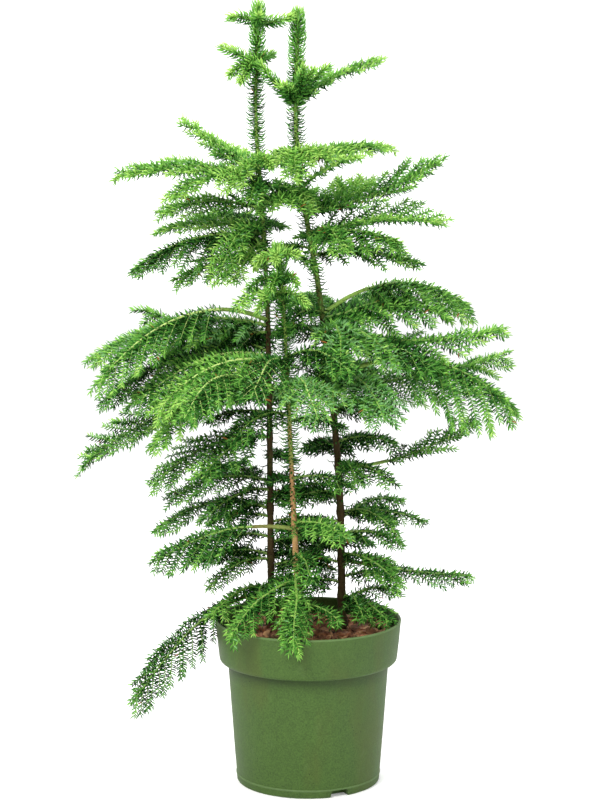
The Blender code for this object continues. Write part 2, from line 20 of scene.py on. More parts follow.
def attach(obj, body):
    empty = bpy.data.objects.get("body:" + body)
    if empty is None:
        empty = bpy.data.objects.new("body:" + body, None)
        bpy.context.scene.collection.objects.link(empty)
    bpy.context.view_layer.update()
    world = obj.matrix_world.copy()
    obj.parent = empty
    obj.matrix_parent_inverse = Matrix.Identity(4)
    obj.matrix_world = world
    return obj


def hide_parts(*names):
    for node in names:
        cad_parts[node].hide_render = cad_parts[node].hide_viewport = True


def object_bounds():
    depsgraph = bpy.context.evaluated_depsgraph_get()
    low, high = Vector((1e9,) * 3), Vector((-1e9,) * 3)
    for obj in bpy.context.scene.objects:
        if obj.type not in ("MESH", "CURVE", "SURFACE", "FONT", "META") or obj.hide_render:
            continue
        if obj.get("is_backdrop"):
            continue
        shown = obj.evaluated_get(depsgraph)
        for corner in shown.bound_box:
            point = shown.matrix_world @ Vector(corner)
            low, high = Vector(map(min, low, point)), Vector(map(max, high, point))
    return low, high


bl_info = {
    "name": "Potted Norfolk Island Pine",
    "version": (1, 0, 0),
    "blender": (4, 5, 0),
    "location": "3D View > Sidebar > Pine",
    "description": "Builds the pot, potting bark, stems, boughs and needle sprays of a young potted pine",
    "category": "Object",
}

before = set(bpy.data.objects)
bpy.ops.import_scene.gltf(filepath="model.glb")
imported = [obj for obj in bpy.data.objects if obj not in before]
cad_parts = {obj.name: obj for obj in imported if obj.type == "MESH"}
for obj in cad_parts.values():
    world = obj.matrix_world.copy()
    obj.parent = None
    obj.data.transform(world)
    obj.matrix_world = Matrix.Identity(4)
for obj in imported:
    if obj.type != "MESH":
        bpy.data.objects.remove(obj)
CAD_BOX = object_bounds()
BODY = "root"
CM = 0.01
UP = np.array((0.0, 0.0, 1.0))
GOLDEN_ANGLE = math.radians(137.5)
MOST_TRIANGLES = 190_000

Stem = namedtuple("Stem", "name leans foot_y tip_y foot_radius tip_radius")
Spray = namedtuple("Spray", "azimuth reach rise arch bare forks", defaults=(0.0, ()))
Tier = namedtuple("Tier", "height sprays whorl")


def sprays(height, *rows):
    """A tier of sprays from rows of azimuth, reach, rise and arch, then the bare share and any forks."""
    return Tier(height, [Spray(*row[:5], forks=[Spray(*fork) for fork in row[5:]]) for row in rows], False)


def shoots(height, *rows):
    """A young tier of short shoots, which all grow from one point."""
    return Tier(height, [Spray(*row) for row in rows], True)


# Growth of the plant, as in the part's source: heights, leans and reaches in centimetres, azimuths in degrees
LEFT_LEANS = ((22, -5.4), (66, -5.8), (83, -6.6), (96, -7.45), (112, -7.1))
RIGHT_LEANS = ((22, 5.0), (45, 4.4), (70, 1.7), (91.5, -1.6), (111, -1.5))
MIDDLE_LEANS = ((22, -1.2), (40, -2.1), (70, -3.5), (78.5, -4.3))
LEFT = Stem("left", LEFT_LEANS, 0.030, 0.028, 0.0055, 0.0016)
RIGHT = Stem("right", RIGHT_LEANS, 0.030, 0.032, 0.0060, 0.0024)
MIDDLE = Stem("middle", MIDDLE_LEANS, -0.040, -0.050, 0.0050, 0.0014)

PLANT = {
    LEFT: (
        sprays(27, (200, 21, -14.5, 4, 0.3), (232, 13.5, -1.5, 1.5, 0, (262, 8, -1.5, 1))),
        sprays(32, (200, 9.5, -3.5, 1.5, 0, (145, 12, -1.5, 1))),
        sprays(39.5, (168, 17.5, -4, 2.5, 0, (230, 7, -1.5, 1))),
        sprays(43.5, (186, 14.5, -2.5, 2, 0, (130, 13, -1, 1.5))),
        sprays(50, (190, 17, -6.5, 2.5, 0, (237, 14, -4, 1.5))),
        sprays(56, (175, 27, -10, 3, 0, (118, 23, -3, 2.5)), (215, 20, -6.5, 4)),
        sprays(
            65.5, (157, 19.5, 2.5, -1.5, 0, (108, 21, -2.5, 0.8)), (181, 25.5, -4.5, 3),
            (205, 26, -7.5, 5, 0.3)
        ),
        sprays(
            78.5, (190, 18.5, -3.5, 2.5), (163, 15.5, 0.5, 1.5, 0, (118, 13, 1.5, 1), (75, 11, 0, 1)),
            (232, 10.5, -7, 3.5)
        ),
        sprays(
            87.5, (185, 20, 0.5, 1.5, 0, (212, 13, -3, 1.5)),
            (158, 11.5, 7, 0, 0, (110, 11, 2.2, 0), (65, 11, 0, 0.5)), (242, 9, -3, 1.5, 0, (292, 7, 0, 1))
        ),
        shoots(104, (175, 5, 2, 0), (212, 4.5, -2, 0.6), (245, 5, -2.8, 0.6), (60, 4.5, 1, 0)),
        shoots(109.5, (190, 4, 0.6, 0.3), (342, 5, 0.7, -0.3), (95, 4, 0.8, 0), (275, 3, 0.8, 0)),
    ),
    RIGHT: (
        sprays(26.5, (312, 10, -2.2, 1, 0, (283, 8, -1.5, 1), (20, 8, 0, 1))),
        sprays(
            32, (10, 19.5, -3.2, -0.4, 0.3), (320, 11, -3.5, 1.5), (75, 13, -1.5, 1.5, 0, (125, 10, 0, 1))
        ),
        sprays(39, (0, 12.5, -1.5, 1, 0, (318, 9, -3, 1.5), (45, 11, 0, 1))),
        sprays(
            45.5, (6, 20, 6.5, -1.5, 0.35), (312, 11, -1.5, 1, 0, (278, 9, -1.5, 1)),
            (100, 14, -0.5, 1.5, 0, (60, 10, 1, 1))
        ),
        sprays(57.5, (22, 28, 3.5, -1, 0, (82, 24, -0.5, 2)), (345, 26, -2, 4.6, 0.35), (293, 19, -4, 3)),
        sprays(
            65.5, (358, 25.5, 0.5, -1.5), (322, 14, -5, 2, 0, (275, 14, -5, 2.5)),
            (52, 18.5, 4, 0, 0, (100, 20, 1, 1)), (20, 23, 0.5, 4, 0.3)
        ),
        sprays(79, (356, 18.5, 2.3, 1.5), (332, 14.5, -1, 1, 0, (288, 11, -2, 1.5))),
        sprays(82.5, (10, 19, 7, -1, 0, (58, 13, 4, 0), (108, 13, 1.5, 1))),
        sprays(
            90, (15, 13.5, 1.8, 1, 0, (60, 11, 1.2, 0), (118, 10, 0.2, 0.5)),
            (268, 10, -3, 1.5, 0, (310, 8, -0.5, 1))
        ),
        shoots(
            98.3, (10, 12, 5.8, 0.8), (200, 5.4, 5.4, -0.5), (225, 3.2, 2.4, 0), (285, 4.5, 4.8, 0),
            (80, 5, 4, 0)
        ),
    ),
    MIDDLE: (
        sprays(27, (262, 10.5, -1.8, 1, 0, (322, 8, -1.5, 1))),
        sprays(38, (195, 20, -3.5, 2, 0.3), (312, 11, -0.5, 1)),
        sprays(57.5, (200, 15, -2.5, 3, 0.35, (238, 15, -3, 3)), (285, 16, -2, 3, 0, (330, 9, -1.5, 1))),
        sprays(70.5, (214, 7.8, -0.5, 2, 0, (245, 5.5, -2, 1), (320, 6, -1, 1))),
        shoots(77, (200, 3.5, -0.8, 0.4), (262, 3.6, -0.4, 0.5), (335, 3, 0.4, 0.2), (90, 3, 0.8, 0)),
    ),
}
# Finer sprays between the main ones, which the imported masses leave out
EXTRAS = {
    LEFT: (
        sprays(29, (345, 8, -1, 1)),
        sprays(31, (12, 9.5, -1, 1), (60, 10, -1, 1), (176, 9, -0.5, 1)),
        sprays(34.5, (25, 11, -1.5, 1), (178, 12, -2.5, 1.5)),
        sprays(37.5, (358, 9, -1, 1), (184, 9, -1, 1)),
        sprays(41.5, (35, 11, -1, 1), (214, 11, -3, 1.5)),
        sprays(47, (75, 9, -1.5, 1)),
        sprays(53.5, (187, 9, -1, 1), (80, 14, 0, 1.5)),
        sprays(61, (186, 23.5, -5, 3.5), (208, 21, -5.5, 3), (140, 20, -2, 2)),
        sprays(76, (200, 13, -3, 1.5), (335, 8, -2, 1.5), (130, 12, 0, 1), (243, 9.5, -5, 1)),
        sprays(83, (178, 14.5, -0.5, 1.5), (15, 8, 0, 1), (325, 9, -1.5, 1)),
        sprays(86, (350, 7.8, -1.5, 1), (262, 8.5, -2, 1)),
    ),
    RIGHT: (
        sprays(28.5, (190, 8, -1, 1), (0, 8, -0.5, 1)),
        sprays(31.5, (182, 9.5, -1, 1), (335, 8.5, -1, 1), (120, 9, -1, 1)),
        sprays(35, (165, 11, -2, 1), (345, 9, -1, 1)),
        sprays(37.5, (188, 9.5, -1, 1), (25, 9, -1, 1)),
        sprays(41, (150, 12, -1, 1), (205, 9, -1, 1), (180, 9.5, -1, 1)),
        sprays(48.5, (120, 9, -1, 1), (345, 9, 0, 1)),
        sprays(53, (60, 14, 0, 1.5), (8, 9, 0, 1.5)),
        sprays(62, (263, 13.5, -3.5, 2), (335, 17, -2, 2.5), (120, 14, 0, 2)),
        sprays(66.5, (12, 13, 3.5, 1), (8, 17.5, 1, 1), (230, 9, -2, 1.5)),
        sprays(76.5, (350, 15, -1, 1), (205, 9, -2, 1.5), (80, 11, 0, 1)),
        sprays(84.5, (222, 8.5, -1.5, 1), (160, 8, 0, 1), (335, 9, 4.5, 1)),
        shoots(97.6, (330, 5.4, 5.6, 0.8), (302, 4.6, 5.2, 0.6), (250, 4.2, 3.0, 0.6)),
    ),
    MIDDLE: (
        sprays(29.5, (120, 8, -1, 1), (226, 13.5, -6, 2), (268, 12, -8, 2)),
        sprays(33.5, (60, 8, -1, 1), (285, 9, -2, 1)),
        sprays(37, (88, 9.5, -1, 1), (20, 8, -1, 1)),
        sprays(44.5, (110, 9, -1, 1), (345, 9, -1, 1)),
        sprays(53.5, (25, 9, -1.5, 1), (228, 12, -2.5, 2)),
        sprays(61, (196, 19, -5.5, 4), (250, 14, -3, 2.5), (318, 12, -1, 2)),
        shoots(73.8, (205, 5.2, -1.2, 0.8), (255, 5.6, -1.2, 1), (300, 4.4, -0.4, 0.8)),
    ),
}
# In metres: how much higher each spray of a tier starts than the last, how far out its forks start, the
# stems' root flare, the top of the potting bark, and the longest reach of a shoot
STAGGER = 0.008
FORK_OUT = 0.014
FLARE = 0.0035
FLARE_HEIGHT = 0.012
SOIL_HEIGHT = 0.222
SHOOT_REACH = 0.075

# Tones of the needles, from the newest growth to the oldest, which are also dealt out as painted light and
# shade, then all of them with two that stand apart
TONES = ("fresh", "bright", "leaf", "deep", "shade")
GLAUCOUS, DEAD = "glaucous", "dead"
ALL_TONES = (*TONES, GLAUCOUS, DEAD)
# How widely tones are dealt out by spray, by branchlet and by needle, and how much painted shade darkens a
# level needle
FAMILY_SPREAD = 0.30
BRANCHLET_SPREAD = 0.50
NEEDLE_SPREAD = 0.50
LEVEL_PAINTED_SHADE = 0.25
# Radii of a branchlet, and how far a rachis sways to each side as a share of its reach
BRANCHLET_ROOT = 0.00095
BRANCHLET_TIP = 0.00055
MOST_SWAY = 0.07
# Needles stand on a stem from this height, so many a centimetre at these distances below its tip
STEM_NEEDLES_FROM = 0.40
BELOW_TIP = (0.0, 0.10, 0.30, 0.45, 0.60)
STEM_NEEDLES_PER_CM = (30.0, 17.0, 11.0, 7.0, 2.5)

# The tone that a spray starts from, as a place among TONES, where its height alone doesn't give it
# A spray goes by its stem, tier and number, shoots by stem and tier, and the finer ones are extra
SPRAY_TONES = {
    "left 1.2": 2.7, "left 3.1": 2.9, "left 4.1": 3.1, "left 5.1": 2.9, "left 6.2": 2.5, "left 7.1": 2.3,
    "left 7.2": 2.2, "left 7.3": 2.3, "left 8.1": 2.9, "left 8.2": 2.5, "left 8.3": 2.0, "left 9.1": 1.9,
    "left 9.3": 1.4, "left extra 9.4": 1.6, "left extra 10.1": 1.5, "left extra 10.3": 2.0,
    "right 4.1": 3.1, "right 4.3": 3.3, "right 5.2": 2.5, "right 6.1": 2.3, "right 6.2": 2.2,
    "right 6.4": 2.1, "right 7.1": 2.2, "right 8.1": 1.9, "right 9.2": 1.6, "right extra 11.3": 1.6,
    "middle 1.1": 2.6, "middle 2.2": 2.3, "middle 3.1": 2.5, "middle 4.1": 1.3, "middle 5": 0.9,
    "middle extra 1.2": 2.7, "middle extra 1.3": 2.5, "middle extra 6.1": 2.0,
}
# Sprays with a bluish bloom on their needles, and those whose twigs are pale yellow-green
BLOOMED = ("left 7.2", "right 5.3", "right 6.2", "middle 3.2")
PALE_TWIGS = (
    "left 7.3", "left extra 8.2", "middle 3.1", "middle 3.2", "middle extra 6.1", "middle extra 6.2",
)
# How far the branchlets of a spray hang, where its height alone doesn't give it
DROOPS = {
    "left 1.1": 0.75, "left 1.2": 1.4, "left 4.1": 0.25, "left 5.1": 0.2, "left 6.1": -0.2, "left 7.1": 1.0,
    "left 7.2": 0.75, "left 7.3": 1.0, "left 8.1": 1.1, "right 2.1": 0.4, "right 4.1": -0.1,
    "right 5.2": 1.35, "right 6.4": 1.1, "right 7.1": -0.2, "right 7.2": 1.0, "right 8.1": -0.15,
    "right 9.1": 0.4, "middle 1.1": 1.1, "middle 3.1": 0.8, "middle extra 1.2": 1.6,
    "middle extra 1.3": 1.3,
}
# How long the branchlets of a spray are beside the usual
SCALES = {
    "left 1.1": 0.9, "left 3.1": 0.75, "left 6.1": 1.1, "left 6.2": 0.75, "left 9.1": 0.8,
    "right 2.1": 0.6, "right 3.1": 0.65, "right 4.1": 0.6, "right 5.2": 1.5, "right 6.1": 0.85,
    "right 7.2": 1.15, "middle extra 1.2": 0.95,
}

# The pot's foot groove and floor, its notches, and the potting mix with its chips and fibres
GROOVE_HEIGHT = 0.0118
POT_FLOOR = 0.0040
NOTCH_SIZE = (0.034, 0.034, 0.021)
NOTCH_TURNS = (295.5, 415.5, 535.5)
MIX_RINGS = 30
CHIP_TILT = 0.50
DRY_SHARE = 0.34
FIBRE_POINTS = 7

WHITE = (1.0, 1.0, 1.0)
LAMP_AIM = Vector((0, 0, 0.55))
LAMPS = (
    ("key", (-1.5, -2.6, 2.9), 1.6, 160.0, (1.0, 0.985, 0.955)),
    ("fill", (2.4, -2.2, 1.5), 2.2, 34.0, (0.95, 0.98, 1.0)),
    ("top", (0.4, 1.2, 3.0), 2.0, 76.0, WHITE),
)


def length_property(name, words, metres):
    """A length that the user can change."""
    return FloatProperty(name=name, description=words, default=metres, unit="LENGTH")


def colour_property(name, words, value):
    """A colour that the user can change."""
    return FloatVectorProperty(
        name=name, description=words, default=value, size=3, subtype="COLOR", min=0, max=1
    )


class PineSizes(PropertyGroup):
    """Sizes of the pot and of its potting bark."""

    pot_height: length_property("Pot height", "Floor to rim", 0.240)
    rim_radius: length_property("Rim radius", "Outside of the rim", 0.135)
    collar_height: length_property("Collar foot", "Height of the collar's lower edge", 0.1785)
    collar_radius: length_property("Collar foot radius", "Radius at the collar's lower edge", 0.1296)
    body_radius: length_property("Body top radius", "Radius of the cup just under its collar", 0.1170)
    foot_radius: length_property("Foot radius", "Radius at the floor", 0.1042)
    wall: length_property("Wall", "Thickness of the pot's wall", 0.0035)
    chips: IntProperty(name="Chips", description="Bark chips that lie on the potting mix", default=950)
    fibres: IntProperty(name="Fibres", description="Coir fibres that lie among the chips", default=260)


class PineHabit(PropertyGroup):
    """How the sprays branch, and the size of their needles."""

    seed: IntProperty(name="Seed", description="Seed of the branching", default=27)
    spacing: length_property("Branchlet spacing", "Between branchlets on one side", 0.0138)
    young_spacing: length_property("Young spacing", "The same near the leaders", 0.0195)
    longest: length_property("Longest branchlet", "On an old spray", 0.077)
    needle_length: length_property("Needle length", "On a spray", 0.0118)
    needle_width: length_property("Needle width", "At its root", 0.00180)
    needles_per_cm: FloatProperty(name="Needles per cm", description="Along a branchlet", default=8.2)
    roll: FloatProperty(name="Roll", description="Turn of sprays to the front", default=0.30, unit="ROTATION")
    stem_needle_length: length_property("Stem needle length", "Curved needles on the leaders", 0.0170)


class PineColours(PropertyGroup):
    """Base colours, in linear light."""

    # The needle tones below stand for age and also serve as painted light and shade
    fresh: colour_property("Fresh", "Newest needles", (0.410, 0.690, 0.145))
    bright: colour_property("Bright", "Young needles", (0.230, 0.520, 0.085))
    leaf: colour_property("Leaf", "Full-grown needles", (0.105, 0.315, 0.046))
    deep: colour_property("Deep", "Old needles", (0.032, 0.142, 0.020))
    shade: colour_property("Shade", "Oldest needles", (0.007, 0.038, 0.004))
    glaucous: colour_property("Glaucous", "Needles with a bluish bloom", (0.200, 0.450, 0.150))
    dead: colour_property("Dead", "Dead needles", (0.300, 0.120, 0.030))
    twig: colour_property("Twig", "Green twigs", (0.250, 0.420, 0.080))
    pale_twig: colour_property("Pale twig", "Yellow-green twigs", (0.520, 0.680, 0.200))
    dark_bark: colour_property("Dark bark", "Bark of the outer stems", (0.046, 0.029, 0.008))
    warm_bark: colour_property("Warm bark", "Bark of the middle stem", (0.370, 0.210, 0.085))
    pot: colour_property("Pot", "Olive green plastic", (0.0435, 0.090, 0.0142))
    bark_chip: colour_property("Bark chip", "Damp bark chips", (0.190, 0.082, 0.040))
    fibre: colour_property("Fibre", "Coir fibres", (0.380, 0.210, 0.100))


def sizes():
    return bpy.context.scene.pine_sizes


def habit():
    return bpy.context.scene.pine_habit


def colours():
    return bpy.context.scene.pine_colours


def scaled(colour, share):
    """A colour made darker or lighter."""
    return tuple(share * part for part in colour)


class Term:
    """A number socket that does arithmetic by adding Math nodes."""

    def __init__(self, finish, socket):
        self.finish = finish
        self.socket = socket

    def math(self, operation, *values):
        made = self.finish.node("ShaderNodeMath", {"operation": operation}, dict(enumerate(values)))
        return Term(self.finish, made.outputs[0])

    def __add__(self, other):
        return self.math("ADD", self, other)

    def __rsub__(self, other):
        return self.math("SUBTRACT", other, self)

    def __mul__(self, other):
        return self.math("MULTIPLY", self, other)

    def above(self, low, high):
        """0 below low and 1 above high, smooth between."""
        limits = {"Value": self, "From Min": low, "From Max": high}
        made = self.finish.node("ShaderNodeMapRange", {"interpolation_type": "SMOOTHSTEP"}, limits)
        return Term(self.finish, made.outputs["Result"])

    __radd__ = __add__
    __rmul__ = __mul__


class Finish:
    """A Principled material that is being put together."""

    def __init__(self, name, **even):
        self.material = bpy.data.materials.new(name)
        self.material.use_nodes = True
        self.tree = self.material.node_tree
        self.shader = self.tree.nodes["Principled BSDF"]
        for socket, value in even.items():
            self.feed(self.shader.inputs[socket.replace("_", " ").title().replace("Ior", "IOR")], value)
        self.place = self.node("ShaderNodeTexCoord").outputs["Object"]

    def node(self, kind, settings=None, inputs=None):
        """A node of one kind, with its settings made first and then its sockets fed."""
        made = self.tree.nodes.new(kind)
        for key, value in (settings or {}).items():
            setattr(made, key, value)
        for key, value in (inputs or {}).items():
            self.feed(made.inputs[key], value)
        return made

    def feed(self, socket, value):
        if isinstance(value, Term):
            value = value.socket
        if isinstance(value, bpy.types.NodeSocket):
            self.tree.links.new(value, socket)
        elif hasattr(socket.default_value, "__len__") and len(value) == 3 and len(socket.default_value) == 4:
            socket.default_value = (*value, 1.0)
        else:
            socket.default_value = value

    def stretched(self, *scale):
        """Object coordinates scaled along each axis."""
        return self.node("ShaderNodeMapping", None, {"Vector": self.place, "Scale": scale}).outputs["Vector"]

    def noise(self, scale, detail=3.0, roughness=0.5, place=None):
        inputs = {"Vector": place or self.place, "Scale": scale, "Detail": detail, "Roughness": roughness}
        return Term(self, self.node("ShaderNodeTexNoise", None, inputs).outputs["Fac"])

    def cells(self, scale, place=None):
        inputs = {"Vector": place or self.place, "Scale": scale}
        return Term(self, self.node("ShaderNodeTexVoronoi", None, inputs).outputs["Distance"])

    def height(self):
        return Term(self, self.node("ShaderNodeSeparateXYZ", None, {"Vector": self.place}).outputs["Z"])

    def blend(self, factor, low, high):
        """A colour between two, by a factor."""
        made = self.node("ShaderNodeMix", {"data_type": "RGBA"}, {"Factor": factor, 6: low, 7: high})
        return made.outputs[2]

    def shaded(self, factor, colour, low, high):
        """A colour made darker or lighter, between two shares of itself."""
        return self.blend(factor, scaled(colour, low), scaled(colour, high))

    def colour(self, value):
        self.feed(self.shader.inputs["Base Color"], value)

    def roughness(self, value):
        self.feed(self.shader.inputs["Roughness"], value)

    def bump(self, height, depth, strength=1.0):
        made = self.node("ShaderNodeBump", None, {"Height": height, "Distance": depth, "Strength": strength})
        self.feed(self.shader.inputs["Normal"], made.outputs["Normal"])


def needle_finish(tone):
    """Satin needles of one plain tone."""
    finish = Finish(f"needles_{tone}", roughness=0.55, metallic=0.0, specular_ior_level=0.05)
    finish.colour(tuple(getattr(colours(), tone)))
    return finish.material


def twig_finish(name, base):
    """Smooth young bark with faint darker joints."""
    finish = Finish(name, roughness=0.5, metallic=0.0)
    finish.colour(finish.shaded(finish.noise(220.0, 3.0), base, 0.65, 1.25))
    return finish.material


def bark_finish(name, base, green, green_from):
    """Thin ringed bark with lighter cracks and dark leaf scars, which gives way to green higher up."""
    finish = Finish(name, metallic=0.0, specular_ior_level=0.25)
    rings = finish.noise(1.0, 4.0, 0.6, finish.stretched(70, 70, 420))
    scars = finish.cells(1.0, finish.stretched(190, 190, 240))
    patches = finish.noise(28.0, 3.0)
    dry = finish.shaded(rings, base, 0.45, 1.65)
    young = (finish.height() + 0.25 * patches).above(green_from + 0.05, green_from + 0.25)
    lived = finish.blend(young * 0.92 + 0.08 * patches.above(0.52, 0.66), dry, green)
    finish.colour(finish.blend((1.0 - scars.above(0.10, 0.34)) * 0.6, lived, scaled(base, 0.25)))
    finish.roughness(0.70 + 0.25 * rings)
    finish.bump(rings * 0.7 + scars * 0.6, 0.0012)
    return finish.material


def pot_finish():
    """Matte olive plastic: fine speckle, weathered patches, a few dark specks, painted shade under the collar
    and painted highlights on the lip and foot.
    """
    finish = Finish("pot_olive_plastic", metallic=0.0, specular_ior_level=0.3)
    size = sizes()
    collar = size.collar_height
    base = tuple(colours().pot)
    height = finish.height()
    speckle = finish.noise(430.0, 3.0, 0.8)
    mottle = finish.noise(75.0, 4.0, 0.7)
    cloud = finish.noise(9.0, 4.0, 0.6)
    clean = finish.shaded(speckle.above(0.25, 0.75) * 0.5 + mottle * 0.3 + cloud * 0.2, base, 0.38, 1.72)
    stain = finish.noise(1.0, 3.0, 0.6, finish.stretched(16, 16, 5)).above(0.50, 0.72)
    brown = tuple(a * b for a, b in zip(base, (1.60, 0.92, 0.95)))
    tinted = finish.blend(stain * 0.38, clean, brown)
    dust = finish.noise(1.0, 5.0, 0.7, finish.stretched(60, 60, 30)).above(0.56, 0.76)
    dusty = finish.blend(dust * 0.28, tinted, tuple(a * 1.5 + 0.03 for a in base))
    # Painted shade under the collar: the cup grows darker up to just below the collar's lower edge
    collar_shade = height.above(0.150, collar - 0.002) * (1.0 - height.above(collar - 0.001, collar))
    collar_shaded = finish.blend(collar_shade * (0.35 + 0.4 * mottle), dusty, scaled(base, 0.35))
    specks = (1.0 - finish.cells(95.0).above(0.05, 0.09)) * finish.noise(22.0).above(0.48, 0.60)
    marked = finish.blend(specks * 0.8, collar_shaded, scaled(base, 0.20))
    # Painted highlights: a light line along the lip of the rim and another on the ledge of the foot groove,
    # broken up by the mottle
    lip = height.above(size.pot_height - 0.0034, size.pot_height - 0.0018)
    below_groove = 1.0 - height.above(GROOVE_HEIGHT + 0.0008, GROOVE_HEIGHT + 0.0018)
    foot = height.above(GROOVE_HEIGHT - 0.0022, GROOVE_HEIGHT - 0.0012) * below_groove
    lip_and_foot_highlight = (lip * 0.75 + foot * 0.60) * (0.45 + 0.8 * mottle)
    finish.colour(finish.blend(lip_and_foot_highlight, marked, tuple(a * 1.7 + 0.05 for a in base)))
    finish.roughness(0.46 + 0.18 * cloud + 0.10 * speckle)
    finish.bump(speckle * 0.5 + mottle * 0.5, 0.0006, 0.6)
    return finish.material


def chip_finish(name, base):
    """Splintered bark: grain along each chip, from dark and damp to dry and reddish."""
    finish = Finish(name, metallic=0.0)
    grain = finish.noise(1.0, 4.0, 0.6, finish.stretched(160, 420, 300))
    apart = finish.noise(55.0, 1.0)
    finish.colour(finish.shaded(grain * 0.5 + apart.above(0.38, 0.62) * 0.5, base, 0.02, 3.0))
    finish.roughness(0.72 + 0.25 * grain)
    finish.bump(grain, 0.0010)
    return finish.material


def mix_finish():
    """Dark crumbs of potting mix between the chips, kept very dark as painted shade in the gaps."""
    finish = Finish("potting_mix", metallic=0.0)
    crumbs = finish.noise(260.0, 5.0, 0.7)
    base = tuple(colours().bark_chip)
    finish.colour(finish.shaded(crumbs, base, 0.05, 0.60))
    finish.roughness(0.85 + 0.10 * crumbs)
    finish.bump(crumbs, 0.0020)
    return finish.material


def floor_finish():
    """A plain pale studio floor."""
    finish = Finish("studio_floor", roughness=0.9, metallic=0.0, emission_strength=0.20)
    finish.colour(finish.shaded(finish.noise(3.0), (0.92, 0.92, 0.92), 0.985, 1.0))
    return finish.material


def new_piece(name, mesh, finish, replaced=()):
    """A finished piece that rides with the plant, and the nodes that it stands for."""
    made = bpy.data.objects.new(name, mesh)
    bpy.context.scene.collection.objects.link(made)
    made.data.materials.append(finish)
    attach(made, BODY)
    if replaced:
        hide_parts(*replaced)
    return made


def mesh_of(shape, name, smooth_angle=None):
    """A mesh from a bmesh, shaded smooth but for edges sharper than the angle."""
    mesh = bpy.data.meshes.new(name)
    shape.to_mesh(mesh)
    shape.free()
    mesh.shade_smooth()
    if smooth_angle:
        mesh.set_sharp_from_angle(angle=math.radians(smooth_angle))
    return mesh


def spun(profile, steps):
    """A closed bmesh, turned from pairs of radius and height."""
    shape = bmesh.new()
    corners = [shape.verts.new((radius, 0.0, height)) for radius, height in profile]
    edges = [shape.edges.new(pair) for pair in zip(corners, corners[1:])]
    axis, turn = (0, 0, 1), 2 * math.pi
    bmesh.ops.spin(
        shape, geom=corners + edges, cent=(0, 0, 0), axis=axis, angle=turn, steps=steps, use_merge=True
    )
    bmesh.ops.remove_doubles(shape, verts=shape.verts, dist=0.00001)
    bmesh.ops.recalc_face_normals(shape, faces=shape.faces)
    return shape


class Heap:
    """Vertices and triangles of many small shapes, which become one joined mesh."""

    def __init__(self):
        self.points = []
        self.faces = []
        self.count = 0

    def add(self, points, faces):
        points = points.reshape(-1, 3)
        self.points.append(points)
        self.faces.append(faces.reshape(-1, 3) + self.count)
        self.count += len(points)

    def mesh(self, name):
        points, faces = np.concatenate(self.points), np.concatenate(self.faces)
        mesh = bpy.data.meshes.new(name)
        mesh.vertices.add(len(points))
        mesh.vertices.foreach_set("co", points.astype(np.float32).ravel())
        mesh.loops.add(faces.size)
        mesh.loops.foreach_set("vertex_index", faces.astype(np.int32).ravel())
        mesh.polygons.add(len(faces))
        mesh.polygons.foreach_set("loop_start", np.arange(0, faces.size, 3, dtype=np.int32))
        mesh.update(calc_edges=True)
        mesh.shade_smooth()
        return mesh


def unit(vectors):
    return vectors / np.maximum(np.linalg.norm(vectors, axis=-1, keepdims=True), 1e-9)


def across(forward):
    """Two unit directions across each forward one, the first as near level as it can be."""
    level = np.cross(forward, UP)
    steep = np.linalg.norm(level, axis=-1) < 0.05
    level[steep] = (1.0, 0.0, 0.0)
    level = unit(level)
    return level, np.cross(forward, level)


def tubes(paths, radii, sides):
    """Points and triangles of closed tubes along (tubes, rings, 3) paths, with (tubes, rings) radii."""
    number, rings, _ = paths.shape
    forward = unit(np.gradient(paths, axis=1))
    level, over = across(forward)
    turn = 2 * math.pi * np.arange(sides) / sides
    circle = level[:, :, None] * np.cos(turn)[:, None] - over[:, :, None] * np.sin(turn)[:, None]
    points = paths[:, :, None] + circle * radii[:, :, None, None]
    near = np.arange(sides)
    far = (near + 1) % sides
    ring = np.arange(rings - 1)[:, None] * sides
    side_faces = np.concatenate(
        [
            np.stack([ring + near, ring + far, ring + far + sides], axis=-1),
            np.stack([ring + near, ring + far + sides, ring + near + sides], axis=-1),
        ],
        axis=1,
    ).reshape(-1, 3)
    fan = np.arange(1, sides - 1)
    foot = np.stack([np.zeros_like(fan), fan + 1, fan], axis=-1)
    tip = np.stack([np.zeros_like(fan), fan, fan + 1], axis=-1) + (rings - 1) * sides
    faces = np.concatenate([side_faces, foot, tip])
    starts = np.arange(number)[:, None, None] * rings * sides
    return points, faces[None] + starts


# A fine needle is an awl with a keel: three corners at its root, one on its bent back and its tip
FINE_FACES = np.array(((0, 3, 1), (1, 3, 4), (3, 2, 4), (0, 2, 3), (1, 4, 2)))
# A coarse one has three corners at its root, three where it bends and its tip
COARSE_SIDES = ((0, 1, 4), (0, 4, 3), (1, 2, 5), (1, 5, 4), (2, 0, 3), (2, 3, 5))
COARSE_FACES = np.array(((0, 2, 1), *COARSE_SIDES, (3, 4, 6), (4, 5, 6), (5, 3, 6)))


def corners_round(centres, side, back, half):
    """Three corners of a needle's section: one on its back and two below."""
    return (
        centres + back * half,
        centres - side * half - back * half * 0.5,
        centres + side * half - back * half * 0.5,
    )


def fine_needles(roots, along, back, lengths, widths, bend):
    """Points and triangles of fine needles from their roots, directions, backs, lengths and widths."""
    side = np.cross(along, back)
    first, left, right = corners_round(roots, side, back, widths / 2)
    keel = roots + along * 0.5 * lengths + back * (bend * lengths + 0.2 * widths)
    points = np.stack((first, right, left, keel, roots + along * lengths), axis=1)
    return points, FINE_FACES[None] + 5 * np.arange(len(roots))[:, None, None]


def coarse_needles(roots, along, back, lengths, widths, bend):
    """The same for coarse needles, which curve forward."""
    side = np.cross(along, back)
    middle = roots + along * 0.46 * lengths + back * bend * lengths
    rings = corners_round(roots, side, back, widths / 2) + corners_round(middle, side, back, 0.42 * widths)
    points = np.stack((*rings, roots + along * lengths), axis=1)
    return points, COARSE_FACES[None] + 7 * np.arange(len(roots))[:, None, None]


Look = namedtuple("Look", "length width per_cm lean tip_lean lift bend tone tip_tone coarse bloom dead flat")


